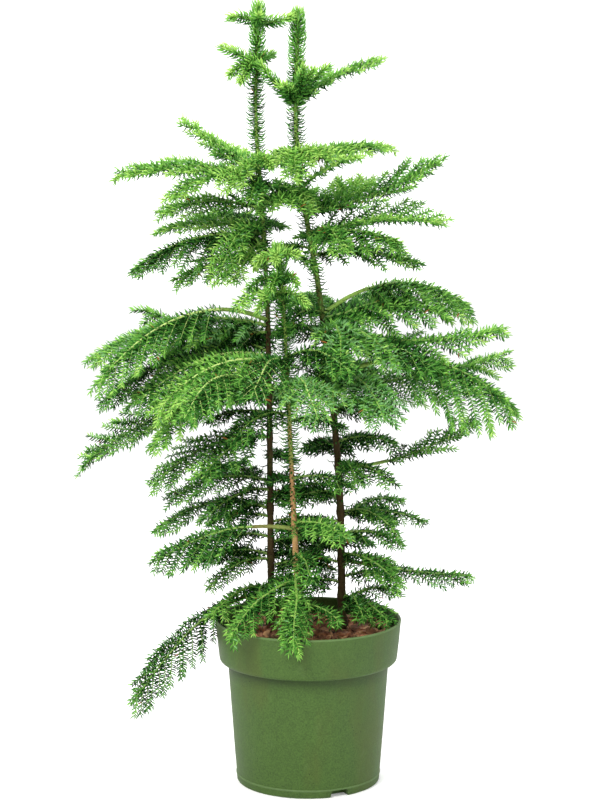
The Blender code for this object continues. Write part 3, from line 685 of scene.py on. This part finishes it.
class Foliage:
    """The twigs and needles of one stem, gathered by tone."""

    def __init__(self):
        self.needles = {(tone, coarse): [] for tone in ALL_TONES for coarse in (False, True)}
        self.twigs = {"green": Heap(), "pale": Heap()}

    def clothe(self, points, forward, radii, look, chance, young, plane, shift=0.0):
        """Stands needles round a line of points, most in the plane, young ones brighter and steeper."""
        number = len(points)
        if number == 0:
            return
        level = unit(plane - forward * np.sum(plane * forward, axis=1, keepdims=True))
        over = np.cross(forward, level)
        turn = GOLDEN_ANGLE * np.arange(number) + chance.uniform(0, 6.28) + chance.normal(0, 0.12, number)
        turn -= look.flat * np.sin(2 * turn)
        out = level * np.cos(turn)[:, None] + over * np.sin(turn)[:, None]
        lean = (look.lean + (look.tip_lean - look.lean) * young**3) + chance.normal(0, 0.08, number)
        along = unit(forward * np.cos(lean)[:, None] + out * np.sin(lean)[:, None] + UP * look.lift)
        back = unit(out - along * np.sum(out * along, axis=1)[:, None])
        lengths = look.length * (1.0 - 0.25 * young**4) * chance.uniform(0.80, 1.12, number)
        widths = look.width * chance.uniform(0.85, 1.15, number)
        roots = points + out * radii[:, None] * 0.4
        rows = np.column_stack([roots, along, back, lengths, widths, np.full(number, look.bend)])
        # Painted light and shade: needles that point up are dealt lighter tones and those that point down
        # darker ones, as if they caught more or less of the sky
        place = look.tone + shift + chance.normal(0, NEEDLE_SPREAD, number) - out[:, 2] + LEVEL_PAINTED_SHADE
        place -= look.tip_tone * np.clip((young - 0.50) / 0.5, 0, 1)
        tone = np.clip(np.round(place), 0, len(TONES) - 1).astype(int)
        bloomed = chance.random(number) < look.bloom
        dead = chance.random(number) < look.dead
        for index, name in enumerate(TONES):
            self.needles[name, look.coarse].append(rows[(tone == index) & ~bloomed & ~dead])
        self.needles[GLAUCOUS, look.coarse].append(rows[bloomed & ~dead])
        self.needles[DEAD, look.coarse].append(rows[dead])

    def pieces(self, stem_name):
        """Joined meshes of the needles, each of one tone and split so that no piece holds more than
        MOST_TRIANGLES triangles.
        """
        kinds = ((False, fine_needles, FINE_FACES), (True, coarse_needles, COARSE_FACES))
        for tone in ALL_TONES:
            found = []
            for coarse, grow, faces in kinds:
                rows = np.concatenate(self.needles[tone, coarse] or [np.zeros((0, 12))])
                found.append((rows, grow, len(faces)))
            parts = math.ceil(sum(len(rows) * count for rows, _, count in found) / MOST_TRIANGLES)
            for part in range(parts):
                heap = Heap()
                for rows, grow, _ in found:
                    some = np.array_split(rows, parts)[part]
                    if len(some):
                        columns = [some[:, low : low + 3] for low in (0, 3, 6)]
                        heap.add(*grow(*columns, *(some[:, low : low + 1] for low in (9, 10, 11))))
                name = f"{stem_name}_needles_{tone}" + (f"_{part + 1}" if parts > 1 else "")
                yield name, tone, heap.mesh(name)


def smooth_through(marks, height):
    """The value at a height on a smooth curve through pairs of height and value."""
    count = len(marks)
    low = max(i for i in range(count - 1) if marks[i][0] <= max(height, marks[0][0]))
    (h1, v1), (h2, v2) = marks[low], marks[low + 1]
    h0, v0 = marks[max(low - 1, 0)]
    h3, v3 = marks[min(low + 2, count - 1)]
    slope1, slope2 = (v2 - v0) / (h2 - h0), (v3 - v1) / (h3 - h1)
    s = min(1.0, max(0.0, (height - h1) / (h2 - h1)))
    span = h2 - h1
    return (
        v1 * (1 + 2 * s) * (1 - s) ** 2
        + slope1 * span * s * (1 - s) ** 2
        + v2 * s * s * (3 - 2 * s)
        - slope2 * span * s * s * (1 - s)
    )


def stem_point(stem, height):
    """The point on a stem's axis at a height, and the stem's radius there."""
    foot, tip = stem.leans[0][0] * CM, stem.leans[-1][0] * CM
    share = (height - foot) / (tip - foot)
    x = smooth_through(stem.leans, height / CM) * CM
    y = stem.foot_y + (stem.tip_y - stem.foot_y) * share
    flare = FLARE * math.exp(-(height - SOIL_HEIGHT) / FLARE_HEIGHT)
    return Vector((x, y, height)), stem.foot_radius + (stem.tip_radius - stem.foot_radius) * share + flare


def spray_line(root, spray, shares):
    """Points of a spray at shares of its reach: out level, up by the rise, and over by the arch."""
    turn = math.radians(spray.azimuth)
    out = spray.reach * CM * shares
    up = spray.rise * CM * shares + 4 * spray.arch * CM * shares * (1 - shares)
    return np.stack([root[0] + out * math.cos(turn), root[1] + out * math.sin(turn), root[2] + up], axis=1)


def along_line(distance, lengths, values):
    """Values at distances along a line, from those at its own points."""
    return np.stack([np.interp(distance, lengths, column) for column in values.T], axis=1)


def rachis_radius(spray, share):
    """A rachis thins from its root to its tip, and a longer one is thicker."""
    root = 0.0018 + 0.00005 * spray.reach
    return root + (0.0008 - root) * share


def branchlet_share(share):
    """Branchlets are longest two fifths of the way out, and short at the tip."""
    return np.where(share < 0.4, 0.62 + 0.95 * share, 1.0 - 0.68 * (np.maximum(share - 0.4, 0) / 0.6) ** 1.6)


def youth(height):
    """How young the growth at a height is, from 0 low down to 1 at the leaders."""
    return float(np.clip((height - 0.55) / 0.35, 0, 1))


def needle_look(name, height, shoot):
    """The needles of a mass, by its height on the plant and its name."""
    young = youth(height)
    settings = habit()
    # Painted shade: the finer extra sprays, which sit inside the crown, start half a tone darker
    inside_shade = 0.5 if "extra" in name and not shoot else 0.0
    return Look(
        length=settings.needle_length * (0.90 + 0.26 * young + 0.18 * shoot),
        width=settings.needle_width * (0.92 + 0.28 * young + 0.15 * shoot),
        per_cm=settings.needles_per_cm * (1.0 + 0.15 * young + 1.0 * shoot),
        lean=math.radians(68 - 8 * shoot), tip_lean=math.radians(28), lift=0.04, bend=0.14,
        tone=SPRAY_TONES.get(name, 3.0 - 1.2 * young + inside_shade), tip_tone=1.3 + 0.6 * young,
        coarse=shoot or young > 0.55, bloom=0.38 if name in BLOOMED else 0.03, dead=0.003,
        flat=0.0 if shoot else 0.42,
    )


def grow_rachis(foliage, name, root, spray, start, chance):
    """One rachis with its branchlets and all their needles."""
    settings = habit()
    shoot = spray.reach * CM <= SHOOT_REACH
    look = needle_look(name, root[2], shoot)
    young = youth(root[2])
    twigs = foliage.twigs["pale" if name in PALE_TWIGS else "green"]
    shares = np.linspace(start, 1.0, max(8, round(spray.reach * 1.1)))
    line = spray_line(root, spray, shares)
    turn = math.radians(spray.azimuth)
    sway = np.sin(shares * chance.uniform(5, 8) + chance.uniform(0, 6)) * shares * (1 - shares)
    line += np.array((-math.sin(turn), math.cos(turn), 0.0)) * (sway * spray.reach * CM * MOST_SWAY)[:, None]
    radii = rachis_radius(spray, shares)
    twigs.add(*tubes(line[None], radii[None], 6))
    forward = unit(np.gradient(line, axis=0))
    lengths = np.concatenate([[0], np.cumsum(np.linalg.norm(np.diff(line, axis=0), axis=1))])
    whole = lengths[-1]
    family = chance.normal(0, FAMILY_SPREAD)

    def at(distance):
        return along_line(distance, lengths, line), unit(along_line(distance, lengths, forward))

    def side_of(way):
        """A direction across each way, near level but rolled to the front."""
        level, over = across(way)
        roll = level[:, 1:2] * (chance.normal(settings.roll, 0.10) * (1 - 0.4 * young))
        return level * np.cos(roll) - over * np.sin(roll)

    per_metre = look.per_cm * 100
    distance = np.linspace(0.003, whole, int(whole * per_metre * (1.0 if shoot else 0.8)))
    place, way = at(distance)
    age = distance / whole * (1.0 if shoot else 0.95)
    thickness = np.interp(distance, lengths, radii)
    foliage.clothe(place, way, thickness, look, chance, age, side_of(way), family)
    if shoot:
        return
    spacing = settings.spacing + (settings.young_spacing - settings.spacing) * young
    number = max(4, round(2 * (whole - 0.012) / spacing))
    distance = np.linspace(0.010, whole - 0.008, number) + chance.normal(0, 0.0012, number)
    share = distance / whole
    place, way = at(distance)
    level = side_of(way) * np.where(np.arange(number) % 2 == 0, 1.0, -1.0)[:, None]
    lean = np.radians(chance.normal(57, 6, number) - 20 * share)[:, None]
    hang = DROOPS.get(name, 0.05 + 0.50 * (1 - young))
    droop = hang * chance.uniform(0.75, 1.25, number) * (1 - 0.35 * share) + chance.normal(0, 0.09, number)
    outward = way * np.cos(lean) + level * np.sin(lean)
    first = unit(outward - UP * (0.30 * droop)[:, None])
    last = unit(outward + way * 0.25 - UP * (1.70 * droop)[:, None])
    longest = min(settings.longest, 0.38 * spray.reach * CM)
    reach = longest * branchlet_share(share) * chance.uniform(0.78, 1.12, number) * SCALES.get(name, 1.0)
    steps = np.linspace(0, 1, 4)[None, :, None]
    bends = first[:, None] * steps + (last - first)[:, None] * steps**2 / 2
    thin = np.linspace(BRANCHLET_ROOT, BRANCHLET_TIP, 4)[None] * np.ones((number, 1))
    twigs.add(*tubes(place[:, None] + reach[:, None, None] * bends, thin, 3))
    counts = np.maximum(4, (reach * per_metre).astype(int))
    owner = np.repeat(np.arange(number), counts)
    order = np.arange(len(owner)) - np.repeat(np.cumsum(counts) - counts, counts)
    t = ((order + 0.6) / counts[owner])[:, None]
    spots = place[owner] + reach[owner][:, None] * (first[owner] * t + (last - first)[owner] * t**2 / 2)
    ways = unit(first[owner] + (last - first)[owner] * t)
    # Painted shade: branchlets near the stem, and the part of each branchlet nearest its rachis, are dealt
    # darker tones, as the crown's inside lies in shade
    near_stem_shade = np.clip(1 - share / 0.35, 0, 1)
    shift = family + chance.normal(0, BRANCHLET_SPREAD, number) + 1.1 * near_stem_shade
    inner_shade = 0.5 * np.clip(1 - t[:, 0] / 0.4, 0, 1)
    age = np.maximum(t[:, 0], 0.95 * share[owner] ** 3)
    thickness = np.full(len(owner), 0.0008)
    foliage.clothe(spots, ways, thickness, look, chance, age, way[owner], shift[owner] + inner_shade)


def grow_tier(foliage, stem, level, tier, kind=""):
    """The sprays of one tier, or the short shoots of a young one."""
    settings = habit()
    name = f"{stem.name}{kind} {level}"
    if tier.whorl:
        chance = np.random.default_rng([settings.seed, level, len(stem.name)])
        root, _ = stem_point(stem, tier.height * CM)
        for shoot in tier.sprays:
            grow_rachis(foliage, name, root, shoot, 0.02, chance)
        return
    for number, spray in enumerate(tier.sprays, 1):
        chance = np.random.default_rng([settings.seed, level, number, len(stem.name)])
        root, radius = stem_point(stem, tier.height * CM + STAGGER * (number - 1))
        start = max(spray.bare - 0.02, 0.5 * radius / (spray.reach * CM))
        grow_rachis(foliage, f"{name}.{number}", root, spray, start, chance)
        joint = spray_line(root, spray, np.array([start + FORK_OUT / (spray.reach * CM)]))[0]
        for fork in spray.forks:
            grow_rachis(foliage, f"{name}.{number}", joint, fork, 0.0, chance)


def clothe_stem(foliage, stem):
    """Curved needles on a stem: thick round the leader, thinning out downwards."""
    settings = habit()
    chance = np.random.default_rng([settings.seed, len(stem.name)])
    top = stem.leans[-1][0] * CM
    low = STEM_NEEDLES_FROM
    while low < top:
        high = min(low + 0.03, top)
        below = top - high
        per_cm = float(np.interp(below, BELOW_TIP, STEM_NEEDLES_PER_CM))
        heights = np.linspace(low, high, int(per_cm * (high - low) / CM), endpoint=False)
        low = high
        found = [stem_point(stem, value) for value in heights]
        points = np.array([tuple(point) for point, _ in found]).reshape(-1, 3)
        radii = np.array([radius for _, radius in found])
        fresh = float(np.clip(1 - below / 0.12, 0, 1))
        look = Look(
            length=settings.stem_needle_length, width=settings.needle_width * 1.30, per_cm=per_cm,
            lean=math.radians(82 - 32 * fresh), tip_lean=math.radians(22), lift=0.12, bend=0.20,
            tone=2.5 - 0.9 * fresh, tip_tone=1.5, coarse=True, bloom=0.02, dead=0.01, flat=0.0,
        )
        young = np.clip(1 - (top - heights) / 0.03, 0, 1)
        forward = np.tile(UP, (len(heights), 1))
        plane = np.tile((1.0, 0.0, 0.0), (len(heights), 1))
        foliage.clothe(points, forward, radii * 2.0, look, chance, young, plane, chance.normal(0, 0.2))


def masses_of(stem_name):
    """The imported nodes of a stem's foliage."""
    return [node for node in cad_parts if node.startswith(f"{stem_name}_tier") and "bough" not in node]


def ring_matrix(place, along):
    """A matrix that lays a circle across a direction."""
    forward = along.normalized()
    level = Vector((0, 0, 1)).cross(forward)
    if level.length < 0.2:
        level = Vector((0, 1, 0)).cross(forward)
    level.normalize()
    return Matrix.Translation(place) @ Matrix((level, forward.cross(level), forward)).transposed().to_4x4()


def limb(path, radii, sides, ways):
    """A tapering limb through the path's points, as a closed bmesh."""
    shape = bmesh.new()
    before = []
    for index, (place, radius, along) in enumerate(zip(path, radii, ways)):
        end, matrix = index in (0, len(path) - 1), ring_matrix(place, along)
        ring = bmesh.ops.create_circle(shape, cap_ends=end, segments=sides, radius=radius, matrix=matrix)
        edges = list({edge for corner in ring["verts"] for edge in corner.link_edges})
        if before:
            bmesh.ops.bridge_loops(shape, edges=before + edges)
        before = edges
    bmesh.ops.recalc_face_normals(shape, faces=shape.faces)
    return shape


def stem_mesh(stem, name):
    """A stem with the relief of its bark: rings, leaf cushions in a spiral, and swollen whorls."""
    low, high = SOIL_HEIGHT - 0.004, stem.leans[-1][0] * CM
    rings = int((high - low) / 0.0022)
    heights = [low + (high - low) * step / rings for step in range(rings + 1)]
    found = [stem_point(stem, max(height, SOIL_HEIGHT)) for height in heights]
    path = [Vector((point.x, point.y, height)) for (point, _), height in zip(found, heights)]
    radii = []
    for (_, radius), height in zip(found, heights):
        swell = sum(math.exp(-(((height - tier.height * CM) / 0.006) ** 2)) for tier in PLANT[stem])
        radii.append(radius * (1 + 0.22 * min(swell, 1.0)))
    radii[-1] *= 0.5
    shape = limb(path, radii, 14, [Vector((0, 0, 1))] * len(path))
    for corner in shape.verts:
        axis, radius = stem_point(stem, max(corner.co.z, SOIL_HEIGHT))
        out = Vector((corner.co.x - axis.x, corner.co.y - axis.y, 0))
        turn = math.atan2(out.y, out.x)
        cushion = math.sin(5 * turn + corner.co.z / 0.0016) * math.sin(3 * turn - corner.co.z / 0.0027)
        rough = noise.fractal(Vector((corner.co.x * 260, corner.co.y * 260, corner.co.z * 160)), 1.0, 2.0, 3)
        corner.co += out.normalized() * radius * (0.045 * cushion + 0.07 * rough)
    return mesh_of(shape, name)


class PineOperator(Operator):
    """What the operators share."""

    bl_options = {"REGISTER", "UNDO"}


class PINE_OT_stage(PineOperator):
    """Sets up the camera, the pale floor and soft studio light"""

    bl_idname = "pine.stage"
    bl_label = "Stage"

    def execute(self, context):
        camera = bpy.data.objects.new("camera", bpy.data.cameras.new("camera"))
        camera.data.lens = 105.3
        camera.data.sensor_width = 36.0
        camera.location = (-0.012, -3.319, 1.050)
        camera.rotation_euler = (math.radians(90 - 8.406), 0.0, 0.0)
        context.scene.collection.objects.link(camera)
        context.scene.camera = camera
        shape = bmesh.new()
        bmesh.ops.create_circle(shape, cap_ends=True, segments=96, radius=9.0)
        floor = self.sheet(context, "floor", shape, floor_finish())
        floor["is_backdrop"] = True
        shape = bmesh.new()
        bmesh.ops.create_grid(shape, x_segments=1, y_segments=1, size=9.0)
        glow = Finish("studio_backdrop", roughness=1.0, metallic=0.0, emission_strength=0.95)
        glow.feed(glow.shader.inputs["Emission Color"], WHITE)
        backdrop = self.sheet(context, "backdrop", shape, glow.material)
        backdrop.location = (0.0, 7.0, 3.0)
        backdrop.rotation_euler = (math.radians(90), 0.0, 0.0)
        backdrop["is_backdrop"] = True
        for name, place, size, watts, colour in LAMPS:
            lamp = bpy.data.objects.new(name, bpy.data.lights.new(name, "AREA"))
            lamp.data.size = size
            lamp.data.energy = watts
            lamp.data.color = colour
            lamp.location = place
            lamp.rotation_euler = (LAMP_AIM - Vector(place)).to_track_quat("-Z", "Y").to_euler()
            context.scene.collection.objects.link(lamp)
        world = bpy.data.worlds.new("studio")
        world.use_nodes = True
        sky = world.node_tree.nodes["Background"].inputs
        sky["Color"].default_value = (*WHITE, 1.0)
        sky["Strength"].default_value = 0.34
        context.scene.world = world
        context.scene.view_settings.view_transform = "Standard"
        return {"FINISHED"}

    def sheet(self, context, name, shape, material):
        """A plain surface of the studio."""
        made = bpy.data.objects.new(name, mesh_of(shape, name))
        made.data.materials.append(material)
        context.scene.collection.objects.link(made)
        return made


class PINE_OT_pot(PineOperator):
    """Turns the nursery pot: a tapered cup with a collar, a beaded lip, a foot groove and small notches"""

    bl_idname = "pine.pot"
    bl_label = "Pot"

    def execute(self, context):
        shape = spun(self.profile(), 144)
        pot = new_piece("pot_shell", mesh_of(shape, "pot_shell"), pot_finish(), ["pot"])
        for turn in NOTCH_TURNS:
            self.cut_notch(context, pot, math.radians(turn))
        pot.data.shade_smooth()
        pot.data.set_sharp_from_angle(angle=math.radians(38))
        return {"FINISHED"}

    def profile(self):
        """Pairs of radius and height, from the middle of the foot up the outside and down the inside."""
        size = sizes()
        top, rim, wall = size.pot_height, size.rim_radius, size.wall
        collar, shoulder = size.collar_height, size.collar_radius
        body, foot, groove = size.body_radius, size.foot_radius, GROOVE_HEIGHT
        slope = (body - foot) / (collar - 0.001)
        at_groove = foot + slope * groove
        return (
            (0.0, 0.0), (foot - 0.0022, 0.0), (foot - 0.0006, 0.0006), (foot, 0.0020),
            (at_groove - 0.0001, groove - 0.0014), (at_groove + 0.0005, groove - 0.0008),
            (at_groove + 0.0005, groove + 0.0002), (at_groove - 0.0002, groove + 0.0010),
            (foot + slope * 0.06, 0.060), (foot + slope * 0.12, 0.120),
            (body - 0.0004, collar - 0.0060), (body, collar - 0.0012), (body + 0.0010, collar - 0.0002),
            (shoulder - 0.0052, collar), (shoulder - 0.0026, collar + 0.0008),
            (shoulder - 0.0008, collar + 0.0028), (shoulder, collar + 0.0070),
            (shoulder + 0.5 * (rim - shoulder), 0.5 * (collar + top)), (rim - 0.0006, top - 0.0070),
            (rim - 0.0001, top - 0.0036), (rim, top - 0.0022), (rim - 0.0005, top - 0.0007),
            (rim - 0.0016, top), (rim - 0.0028, top - 0.0007), (rim - wall, top - 0.0024),
            (rim - wall - 0.0010, top - 0.0140), (shoulder - wall, collar + 0.0120),
            (body - wall, collar + 0.0020), (foot - wall, 0.0150),
            (foot - wall - 0.0110, POT_FLOOR), (0.0, POT_FLOOR),
        )

    def cut_notch(self, context, pot, turn):
        """Cuts a small notch in the foot, narrower at its rounded top, which lets water out."""
        shape = bmesh.new()
        bmesh.ops.create_cube(shape, size=1.0)
        bmesh.ops.scale(shape, vec=NOTCH_SIZE, verts=shape.verts)
        top = [corner for corner in shape.verts if corner.co.z > 0]
        bmesh.ops.scale(shape, vec=(1.0, 0.72, 1.0), verts=top)
        rounded = [edge for edge in shape.edges if all(corner.co.z > 0 for corner in edge.verts)]
        bmesh.ops.bevel(
            shape, geom=rounded, offset=0.0022, affect="EDGES", segments=3, profile=0.5, material=-1
        )
        foot = sizes().foot_radius
        place = Matrix.Translation((foot * math.cos(turn), foot * math.sin(turn), 0))
        bmesh.ops.transform(shape, matrix=place @ Matrix.Rotation(turn, 4, "Z"), verts=shape.verts)
        cutter = bpy.data.objects.new("notch", mesh_of(shape, "notch"))
        context.scene.collection.objects.link(cutter)
        cut = pot.modifiers.new("notch", "BOOLEAN")
        cut.operation = "DIFFERENCE"
        cut.object = cutter
        context.view_layer.update()
        mesh = bpy.data.meshes.new_from_object(pot.evaluated_get(context.evaluated_depsgraph_get()))
        pot.modifiers.clear()
        pot.data = mesh
        bpy.data.objects.remove(cutter)


def soil_height(x, y):
    """The uneven top of the potting mix, a little higher in the middle."""
    low = noise.fractal(Vector((x * 26, y * 26, 0.0)), 1.0, 2.0, 4)
    return SOIL_HEIGHT - 0.0045 + 0.0035 * low - 0.0030 * math.hypot(x, y) / 0.12


def chip_shapes(chance, number):
    """Base shapes of bark chips: flat splinters with torn ends, as arrays of points and triangles."""
    found = []
    for _ in range(number):
        shape = bmesh.new()
        bmesh.ops.create_cube(shape, size=1.0)
        long_edges = [e for e in shape.edges if abs((e.verts[0].co - e.verts[1].co).x) > 0.5]
        bmesh.ops.subdivide_edges(shape, edges=long_edges, cuts=2)
        for corner in shape.verts:
            shift = Vector([chance.uniform(-0.16, 0.16) for _ in range(3)])
            taper = 1.0 - 0.55 * abs(corner.co.x) * chance.uniform(0.6, 1.3)
            corner.co = Vector((corner.co.x, corner.co.y * taper, corner.co.z * taper)) + shift
        bmesh.ops.triangulate(shape, faces=shape.faces)
        bmesh.ops.recalc_face_normals(shape, faces=shape.faces)
        points = np.array([tuple(corner.co) for corner in shape.verts])
        faces = np.array([[corner.index for corner in face.verts] for face in shape.faces])
        shape.free()
        found.append((points, faces))
    return found


class PINE_OT_soil(PineOperator):
    """Fills the pot with potting mix and strews bark chips and coir fibres on it"""

    bl_idname = "pine.soil"
    bl_label = "Potting bark"

    def execute(self, context):
        self.build_mix()
        self.strew_chips()
        self.strew_fibres()
        return {"FINISHED"}

    def build_mix(self):
        size = sizes()
        wall, collar = size.wall, size.collar_height
        reach = size.rim_radius - wall - 0.0022
        low = POT_FLOOR + 0.0012
        profile = [(reach * step / MIX_RINGS, SOIL_HEIGHT) for step in range(MIX_RINGS + 1)]
        profile += [(size.collar_radius - wall - 0.003, collar + 0.014)]
        profile += [(size.body_radius - wall - 0.001, collar)]
        profile += [(size.foot_radius - wall - 0.012, low), (0.0, low)]
        shape = spun(profile, 120)
        for corner in shape.verts:
            if abs(corner.co.z - SOIL_HEIGHT) < 0.0001:
                corner.co.z = soil_height(corner.co.x, corner.co.y)
        new_piece("potting_mix", mesh_of(shape, "potting_mix"), mix_finish(), ["soil"])

    def strew_chips(self):
        size = sizes()
        chance = random.Random(habit().seed)
        shapes = chip_shapes(chance, 12)
        heaps = {"red": Heap(), "dry": Heap()}
        for _ in range(size.chips):
            points, faces = chance.choice(shapes)
            length = 0.0060 + 0.0180 * chance.random() ** 2
            breadth, depth = length * chance.uniform(0.35, 0.7), length * chance.uniform(0.12, 0.3)
            roll, pitch = (Matrix.Rotation(chance.gauss(0, CHIP_TILT), 3, axis) for axis in "XY")
            turn = Matrix.Rotation(chance.uniform(0, 6.283), 3, "Z")
            radius = (size.rim_radius - size.wall - 0.010) * math.sqrt(chance.random())
            azimuth = chance.uniform(0, 2 * math.pi)
            x, y = radius * math.cos(azimuth), radius * math.sin(azimuth)
            place = np.array((x, y, soil_height(x, y) + length * 0.10))
            shaped = turn @ (roll @ pitch) @ Matrix.Diagonal((length, breadth, depth))
            kind = "dry" if chance.random() < DRY_SHARE else "red"
            heaps[kind].add(points @ np.array(shaped).T + place, faces)
        bases = {"red": tuple(colours().bark_chip), "dry": scaled(colours().fibre, 0.8)}
        for kind, heap in heaps.items():
            mesh = heap.mesh(f"bark_chips_{kind}")
            mesh.shade_flat()
            finish = chip_finish(f"bark_{kind}", bases[kind])
            new_piece(f"bark_chips_{kind}", mesh, finish)

    def strew_fibres(self):
        size = sizes()
        chance = np.random.default_rng(habit().seed)
        number = size.fibres
        radius = (size.rim_radius - 0.020) * np.sqrt(chance.random(number))
        azimuth = chance.uniform(0, 2 * math.pi, number)
        turn = chance.uniform(0, 2 * math.pi, number)
        length = chance.uniform(0.008, 0.024, number)
        steps = np.linspace(-0.5, 0.5, FIBRE_POINTS)
        heading = turn[:, None] + chance.normal(0, 0.9, number)[:, None] * steps
        x = (radius * np.cos(azimuth))[:, None] + np.cos(heading) * steps * length[:, None]
        y = (radius * np.sin(azimuth))[:, None] + np.sin(heading) * steps * length[:, None]
        lift = 0.0016 + 0.0022 * chance.random((number, FIBRE_POINTS))
        paths = np.stack([x, y, np.vectorize(soil_height)(x, y) + lift], axis=2)
        heap = Heap()
        heap.add(*tubes(paths, np.full((number, FIBRE_POINTS), 0.00028), 4))
        finish = chip_finish("coir_fibre", tuple(colours().fibre))
        new_piece("coir_fibres", heap.mesh("coir_fibres"), finish)


class PINE_OT_stems(PineOperator):
    """Grows the three stems, with the relief of their bark"""

    bl_idname = "pine.stems"
    bl_label = "Stems"

    def execute(self, context):
        green = tuple(colours().twig)
        dark = bark_finish("dark_bark", tuple(colours().dark_bark), scaled(green, 0.8), 0.72)
        warm = bark_finish("warm_bark", tuple(colours().warm_bark), green, 0.48)
        for stem in PLANT:
            name = f"{stem.name}_stem_bark"
            finish = warm if stem is MIDDLE else dark
            new_piece(name, stem_mesh(stem, name), finish, [f"{stem.name}_stem"])
        return {"FINISHED"}


class PINE_OT_boughs(PineOperator):
    """Grows the bare boughs that carry the long sprays"""

    bl_idname = "pine.boughs"
    bl_label = "Boughs"

    def execute(self, context):
        finish = bark_finish("bough_bark", (0.16, 0.14, 0.045), tuple(colours().twig), 0.40)
        for stem, tiers in PLANT.items():
            for level, tier in enumerate(tiers, 1):
                for number, spray in enumerate(tier.sprays, 1):
                    if spray.bare:
                        root, radius = stem_point(stem, tier.height * CM + STAGGER * (number - 1))
                        name = f"{stem.name}_tier_{level}_bough_{number}"
                        self.build(name, root, radius, spray, finish)
        return {"FINISHED"}

    def build(self, name, root, radius, spray, finish):
        shares = np.linspace(0.4 * radius / (spray.reach * CM), spray.bare + 0.01, 40)
        line = spray_line(root, spray, shares)
        path = [Vector(point) for point in line]
        ways = [Vector(way) for way in np.gradient(line, axis=0)]
        knots = [1.0 + 0.05 * math.sin(share * spray.reach * 9.0) for share in shares]
        radii = [(rachis_radius(spray, share) + 0.0004) * knot for share, knot in zip(shares, knots)]
        shape = limb(path, radii, 10, ways)
        for corner in shape.verts:
            corner.co += corner.normal * 0.00018 * noise.fractal(corner.co * 300, 1.0, 2.0, 3)
        new_piece(f"{name}_bark", mesh_of(shape, f"{name}_bark"), finish, [name])


class PINE_OT_foliage(PineOperator):
    """Grows the twigs and needles of every spray and shoot"""

    bl_idname = "pine.foliage"
    bl_label = "Foliage"

    def execute(self, context):
        finishes = {tone: needle_finish(tone) for tone in ALL_TONES}
        twig_finishes = {
            "green": twig_finish("green_twigs", tuple(colours().twig)),
            "pale": twig_finish("pale_twigs", tuple(colours().pale_twig)),
        }
        for stem, tiers in PLANT.items():
            foliage = Foliage()
            for level, tier in enumerate(tiers, 1):
                grow_tier(foliage, stem, level, tier)
            for level, tier in enumerate(EXTRAS[stem], 1):
                grow_tier(foliage, stem, level, tier, " extra")
            clothe_stem(foliage, stem)
            replaced = masses_of(stem.name)
            for kind, heap in foliage.twigs.items():
                if heap.count:
                    name = f"{stem.name}_twigs_{kind}"
                    new_piece(name, heap.mesh(name), twig_finishes[kind], replaced)
                    replaced = ()
            for name, tone, mesh in foliage.pieces(stem.name):
                new_piece(name, mesh, finishes[tone])
        return {"FINISHED"}


class PINE_PT_panel(Panel):
    """Lists the pieces of the potted pine."""

    bl_label = "Potted pine"
    bl_idname = "PINE_PT_panel"
    bl_space_type = "VIEW_3D"
    bl_region_type = "UI"
    bl_category = "Pine"

    def draw(self, context):
        for kind in OPERATORS:
            self.layout.operator(kind.bl_idname)
        for group in (sizes(), habit(), colours()):
            box = self.layout.box()
            for name in group.__annotations__:
                box.prop(group, name)


OPERATORS = (PINE_OT_stage, PINE_OT_pot, PINE_OT_soil, PINE_OT_stems, PINE_OT_boughs, PINE_OT_foliage)
CLASSES = (PineSizes, PineHabit, PineColours, *OPERATORS, PINE_PT_panel)


def register():
    for kind in CLASSES:
        bpy.utils.register_class(kind)
    bpy.types.Scene.pine_sizes = PointerProperty(type=PineSizes)
    bpy.types.Scene.pine_habit = PointerProperty(type=PineHabit)
    bpy.types.Scene.pine_colours = PointerProperty(type=PineColours)


def unregister():
    del bpy.types.Scene.pine_sizes, bpy.types.Scene.pine_habit, bpy.types.Scene.pine_colours
    for kind in reversed(CLASSES):
        bpy.utils.unregister_class(kind)


def main():
    register()
    bpy.ops.pine.stage()
    bpy.ops.pine.pot()
    bpy.ops.pine.soil()
    bpy.ops.pine.stems()
    bpy.ops.pine.boughs()
    bpy.ops.pine.foliage()
    boxes = {"cad": CAD_BOX, "visual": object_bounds()}
    {name: [list(corner) for corner in box] for name, box in boxes.items()}


if __name__ == "__main__":
    main()
